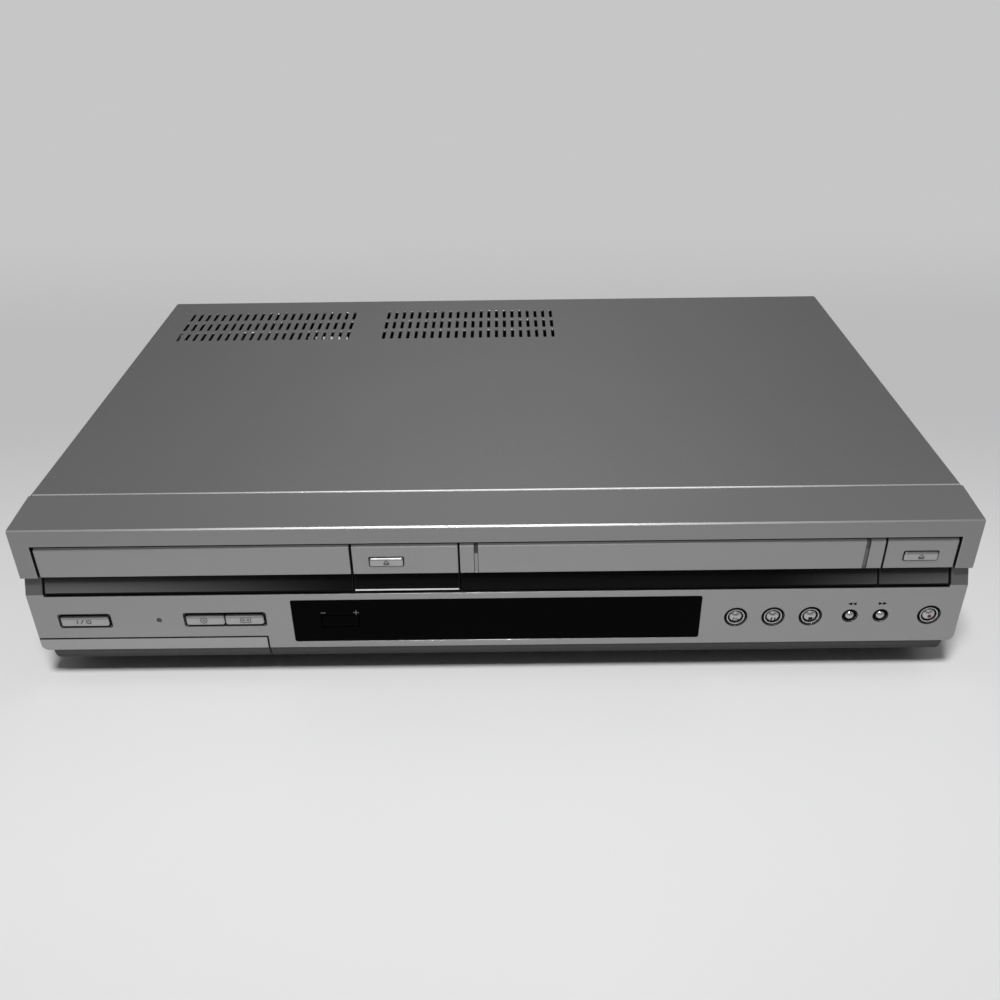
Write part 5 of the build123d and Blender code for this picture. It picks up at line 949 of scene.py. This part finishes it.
def channelMarks():
    # minus and plus beside the rocker in the window
    x, z = centreOf("channel_rocker")
    mark = Mark("display_window")
    z += symbolLook["channelRise"]
    minus = [x + place for place in symbolLook["minus"]]
    plus = [x + place for place in symbolLook["plus"]]
    middle, half = (plus[0] + plus[1]) / 2, (plus[1] - plus[0]) / 2
    mark.band([(minus[0], z), (minus[1], z)], stroke=0.25, closed=False)
    mark.band([(plus[0], z), (plus[1], z)], stroke=0.22, closed=False)
    mark.band([(middle, z - half), (middle, z + half)], stroke=0.22, closed=False)
    mark.place("channel_marks", inks["pale"], "case", "window_black")


print("scene: marks")
powerSymbol()
selectSymbols()
transportSymbols()
windSymbols()
ejectSymbols()
keyHoleShade()
channelMarks()


# screws with a domed head and a cross recess, in the place of plain ones
screwLook = {
    "head": 3.0, "height": 1.7, "dome": 0.55, "arm": 0.32, "reach": 1.7, "recess": 1.1, "panelHead": 2.6,
    "sideHeight": 15.0, "sideDepths": (62.0, 246.0), "backX": (-150.0, 0.0, 150.0), "backHeight": 82.0,
    "panel": ((-55.0, 34.0), (45.0, 34.0), (118.0, 34.0), (182.0, 34.0)), "panelInset": 1.3, "turn": 0.7,
}


def crossRecess(bm, centre, facing, tilt):
    # cutter: two crossed blades that taper into the head
    look = screwLook
    turn = Vector((0, 0, 1)).rotation_difference(Vector(facing)).to_matrix()
    for blade in (0.0, math.pi / 2):
        spin = Matrix.Rotation(blade + tilt, 3, "Z")
        ends = []
        for height, scale in ((look["height"] + 0.4, 1.0), (look["height"] - look["recess"], 0.45)):
            ends.append([])
            for a, b in ((-1, -1), (1, -1), (1, 1), (-1, 1)):
                corner = spin @ Vector((a * look["reach"] * scale, b * look["arm"], height))
                ends[-1].append(bm.verts.new((turn @ corner + Vector(centre)) * mm))
        top, low = ends
        bm.faces.new(top)
        bm.faces.new(low[::-1])
        for index in range(4):
            after = (index + 1) % 4
            bm.faces.new((top[index], low[index], low[after], top[after]))


def makeScrews():
    look = screwLook
    head = look["head"]
    back = (0, 1, 0)
    places = []
    for sign in (-1, 1):
        for depth in look["sideDepths"]:
            places.append(((sign * halfWidth, faceY + depth, look["sideHeight"]), (sign, 0, 0), head))
    places += [((x, backY, look["backHeight"]), back, head) for x in look["backX"]]
    places += [((x, backY - look["panelInset"], z), back, look["panelHead"]) for x, z in look["panel"]]
    heads = bmesh.new()
    blades = bmesh.new()
    height = look["height"]
    dome = look["dome"]
    for index, (centre, facing, radius) in enumerate(places):
        profile = [(0, 0), (radius, 0), (radius, height - dome)]
        for step in range(1, 6):
            angle = step * math.pi / 12
            profile.append((radius * math.cos(angle), height - dome + dome * math.sin(angle)))
        lathe(heads, centre, profile + [(0, height)], facing)
        crossRecess(blades, centre, facing, index * look["turn"])
    bmesh.ops.recalc_face_normals(heads, faces=heads.faces)
    screws = addPiece("domed_screws", heads, finishes["screw_steel"], "case")
    mesh = bpy.data.meshes.new("screw_cutters")
    bmesh.ops.recalc_face_normals(blades, faces=blades.faces)
    blades.to_mesh(mesh)
    blades.free()
    cutter = bpy.data.objects.new("screw_cutters", mesh)
    bpy.context.scene.collection.objects.link(cutter)
    cut = screws.modifiers.new("recess", "BOOLEAN")
    cut.operation = "DIFFERENCE"
    cut.object = cutter
    cut.use_self = True
    depsgraph = bpy.context.evaluated_depsgraph_get()
    carved = bpy.data.meshes.new_from_object(screws.evaluated_get(depsgraph))
    screws.modifiers.clear()
    screws.data = carved
    bpy.data.objects.remove(cutter)
    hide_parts("case_screws")


print("scene: screws")
makeScrews()


# sockets: nickel shells with coloured insulators round a centre hole
socketLook = {
    "barrel": 4.15, "proud": 0.04, "wall": 0.45, "groove": 0.12, "hole": 1.65, "lip": 0.75, "reach": 8.0,
    "columns": 6, "pitch": 14.0, "middle": -5.0, "rows": (27.0, 41.0),
    "frontX": (-190.0, -172.0, -154.0), "frontZ": 19.5, "frontDepth": 8.0,
}
insulators = {
    "yellow": (0.75, 0.5, 0.03, 1.0), "white": (0.78, 0.78, 0.75, 1.0), "red": (0.5, 0.02, 0.02, 1.0),
    "green": (0.03, 0.3, 0.08, 1.0), "blue": (0.03, 0.08, 0.42, 1.0), "black": (0.02, 0.02, 0.02, 1.0),
}
# colours from left to right as seen from the front, low row then high row
rearColours = (
    ("red", "red", "red", "blue", "black", "red"),
    ("white", "white", "white", "green", "yellow", "white"),
)


def makeSockets():
    look = socketLook
    places = []
    for row, z in enumerate(look["rows"]):
        for column in range(look["columns"]):
            x = look["middle"] + (column - (look["columns"] - 1) / 2) * look["pitch"]
            places.append(((x, backY + look["reach"], z), (0, 1, 0), rearColours[row][column]))
    for x, colour in zip(look["frontX"], ("yellow", "white", "red")):
        places.append(((x, faceY + look["frontDepth"], look["frontZ"]), (0, -1, 0), colour))
    shells = bmesh.new()
    rings = {colour: bmesh.new() for colour in insulators}
    # the shell stands just proud of the plain barrel, over its whole reach, with one groove round it
    outer = look["barrel"] + look["proud"]
    inner = outer - look["wall"]
    waist = outer - look["groove"]
    hole = look["hole"]
    lip = hole + look["lip"]
    shell = [
        (outer, 0.6 - look["reach"]), (outer, -1.4), (waist, -1.3), (waist, -1.0), (outer, -0.9),
        (outer, -0.12), (waist, 0.02), (inner, 0.02), (inner - 0.1, 0.01),
    ]
    core = [(lip, 0.012), (hole + 0.05, 0.02), (hole, -0.3), (hole - 0.05, -2.0)]
    for centre, facing, colour in places:
        lathe(shells, centre, shell, facing)
        lathe(rings[colour], centre, [(inner, 0.012), (lip, 0.012)], facing)
        lathe(shells, centre, core, facing)
    addPiece("socket_shells", shells, finishes["nickel"], "case")
    for colour, bm in rings.items():
        finish = plainInk(f"insulator_{colour}", insulators[colour], 0.35)
        addPiece(f"socket_rings_{colour}", bm, finish, "case")


tunerLook = {"x": 150.0, "pitch": 18.0, "radius": 4.75, "crest": 0.15, "reach": 9.0, "thread": 0.9}


def makeTunerSockets():
    # threaded sleeves
    look = tunerLook
    z = centreOf("tuner")[1]
    root = look["radius"] + 0.05
    height = 1.0 - look["reach"]
    profile = [(root, height - 0.5)]
    while height < -0.6:
        profile += [(root, height), (root + look["crest"], height + look["thread"] / 2)]
        height += look["thread"]
    profile += [(look["radius"] - 0.2, 0.0), (look["radius"] - 1.0, 0.0)]
    sleeves = bmesh.new()
    for sign in (-1, 1):
        x = look["x"] + sign * look["pitch"] / 2
        lathe(sleeves, (x, backY + look["reach"], z), profile, (0, 1, 0), 40)
    addPiece("tuner_sleeves", sleeves, finishes["nickel"], "case")


print("scene: sockets")
makeSockets()
makeTunerSockets()


# camera, floor and light

cameraLook = {
    "place": (0.004292, -0.5115, 0.32439), "pitch": 31.385, "yaw": -0.282, "roll": -0.813, "lens": 36.09,
}


def makeCamera():
    look = cameraLook
    pitch, yaw, roll = (math.radians(look[key]) for key in ("pitch", "yaw", "roll"))
    forward = Vector((math.sin(yaw) * math.cos(pitch), math.cos(yaw) * math.cos(pitch), -math.sin(pitch)))
    right = Vector((math.cos(yaw), -math.sin(yaw), 0))
    up = right.cross(forward)
    across = right * math.cos(roll) + up * math.sin(roll)
    upright = up * math.cos(roll) - right * math.sin(roll)
    turn = Matrix((across, upright, -forward)).transposed()
    data = bpy.data.cameras.new("camera")
    data.sensor_width = 36.0
    data.lens = look["lens"]
    data.clip_start = 0.01
    camera = bpy.data.objects.new("camera", data)
    camera.matrix_world = Matrix.Translation(Vector(look["place"])) @ turn.to_4x4()
    bpy.context.scene.collection.objects.link(camera)
    bpy.context.scene.camera = camera


floorLook = {
    "size": 8.0, "cloud": 160.0, "tone": 0.76, "front": 0.6, "frontFrom": -0.2, "frontTo": -0.5,
    "shown": (0.5, 0.565), "shownFrom": -0.1, "shownTo": 0.2, "wallFrom": 0.25, "wallTo": 0.6,
}


def makeFloor():
    look = floorLook
    bm = bmesh.new()
    bmesh.ops.create_grid(bm, x_segments=8, y_segments=8, size=look["size"] / 2)
    mesh = bpy.data.meshes.new("floor")
    bm.to_mesh(mesh)
    bm.free()
    floor = bpy.data.objects.new("floor", mesh)
    bpy.context.scene.collection.objects.link(floor)
    paint = Paint("floor")
    cloud = paint.noise(look["cloud"], 3.0)
    depth = paint.y * mm
    # painted shade: the floor is darker towards the camera, evening out the key lamp's pool of light there
    near = paint.ease(depth, look["frontTo"], look["frontFrom"], look["front"], look["tone"])
    colour = paint.shade((1.0, 1.0, 1.01), near * (0.98 + 0.04 * cloud))
    surface = paint.node("BsdfPrincipled", {}, {"Base Color": colour, "Roughness": 0.6})
    # behind the object the camera sees an even pale ground
    shown = paint.ease(depth, look["wallFrom"], look["wallTo"], *look["shown"]) * (0.99 + 0.02 * cloud)
    glow = paint.node("Emission", {}, {"Color": paint.shade((1.0, 1.0, 1.0), shown), "Strength": 1.0})
    share = paint.seen("Is Camera Ray") * paint.ease(depth, look["shownFrom"], look["shownTo"])
    mixed = paint.node("MixShader", {}, {0: share, 1: surface, 2: glow})
    paint.node("OutputMaterial", {}, {"Surface": mixed})
    mesh.materials.append(paint.material)


lampLook = {
    "key": {"place": (-0.05, -0.6, 1.2), "size": 0.25, "watts": 14.9},
    "fill": {"place": (0.9, 0.2, 1.3), "size": 1.2, "watts": 1.0},
}


def makeLamps():
    for name, look in lampLook.items():
        data = bpy.data.lights.new(name, "AREA")
        data.shape = "SQUARE"
        data.size = look["size"]
        data.energy = look["watts"]
        lamp = bpy.data.objects.new(name, data)
        lamp.location = look["place"]
        lamp.rotation_euler = (-Vector(look["place"])).to_track_quat("-Z", "Y").to_euler()
        bpy.context.scene.collection.objects.link(lamp)


# what lights the object from above, and what gloss and the camera see beyond the floor
worldLook = {
    "fillLow": 0.0, "fillHigh": 0.18, "fillRise": (0.1, 0.8),
    "low": 0.14, "high": 1.0, "rise": (0.36, 0.56), "top": 0.3, "topRise": (0.58, 0.8),
    "sideFall": 0.5, "sideIn": (0.03, 0.35), "sideOut": (0.55, 0.85),
    "horizon": 0.62, "horizonRise": (0.05, 0.25),
    "front": 0.12, "frontSpread": (0.2, 0.62), "frontRise": (0.2, 0.4),
}


def makeWorld():
    look = worldLook
    world = bpy.data.worlds.new("studio")
    bpy.context.scene.world = world
    world.use_nodes = True
    paint = Paint("studio", world.node_tree)
    x, y, z = paint.parts(paint.node("TexCoord", output="Generated"))
    seen = paint.ease(z, *look["rise"], look["low"], look["high"])
    seen = seen * paint.ease(z, *look["topRise"], 1.0, look["top"])
    side = paint.ease(abs(x), *look["sideIn"]) * paint.ease(abs(x), *look["sideOut"], 1.0, 0.0)
    seen = seen * (1 - look["sideFall"] * side)
    seen = seen.most(paint.ease(z, *look["horizonRise"], look["horizon"], 0.0))
    # low in front of the object it is dark, as it is round whoever looks at it
    spread = abs(x) / (0.001 - y).most(0.001)
    front = paint.ease(spread, *look["frontSpread"], 1.0, 0.0) * (y < 0.0)
    front = front * paint.ease(z, *look["frontRise"], 1.0, 0.0)
    seen = seen * (1 - front) + front * look["front"]
    fill = paint.ease(z, *look["fillRise"], look["fillLow"], look["fillHigh"])
    shown = paint.seen("Is Camera Ray", "Is Glossy Ray", "Is Transmission Ray")
    level = seen * shown + fill * (1 - shown)
    glow = paint.node("Background", {}, {"Color": paint.shade(grey(1.0), level), "Strength": 1.0})
    paint.node("OutputWorld", {}, {"Surface": glow})


print("scene: stage")
makeCamera()
makeFloor()
makeLamps()
makeWorld()
bpy.context.scene.view_settings.view_transform = "Standard"
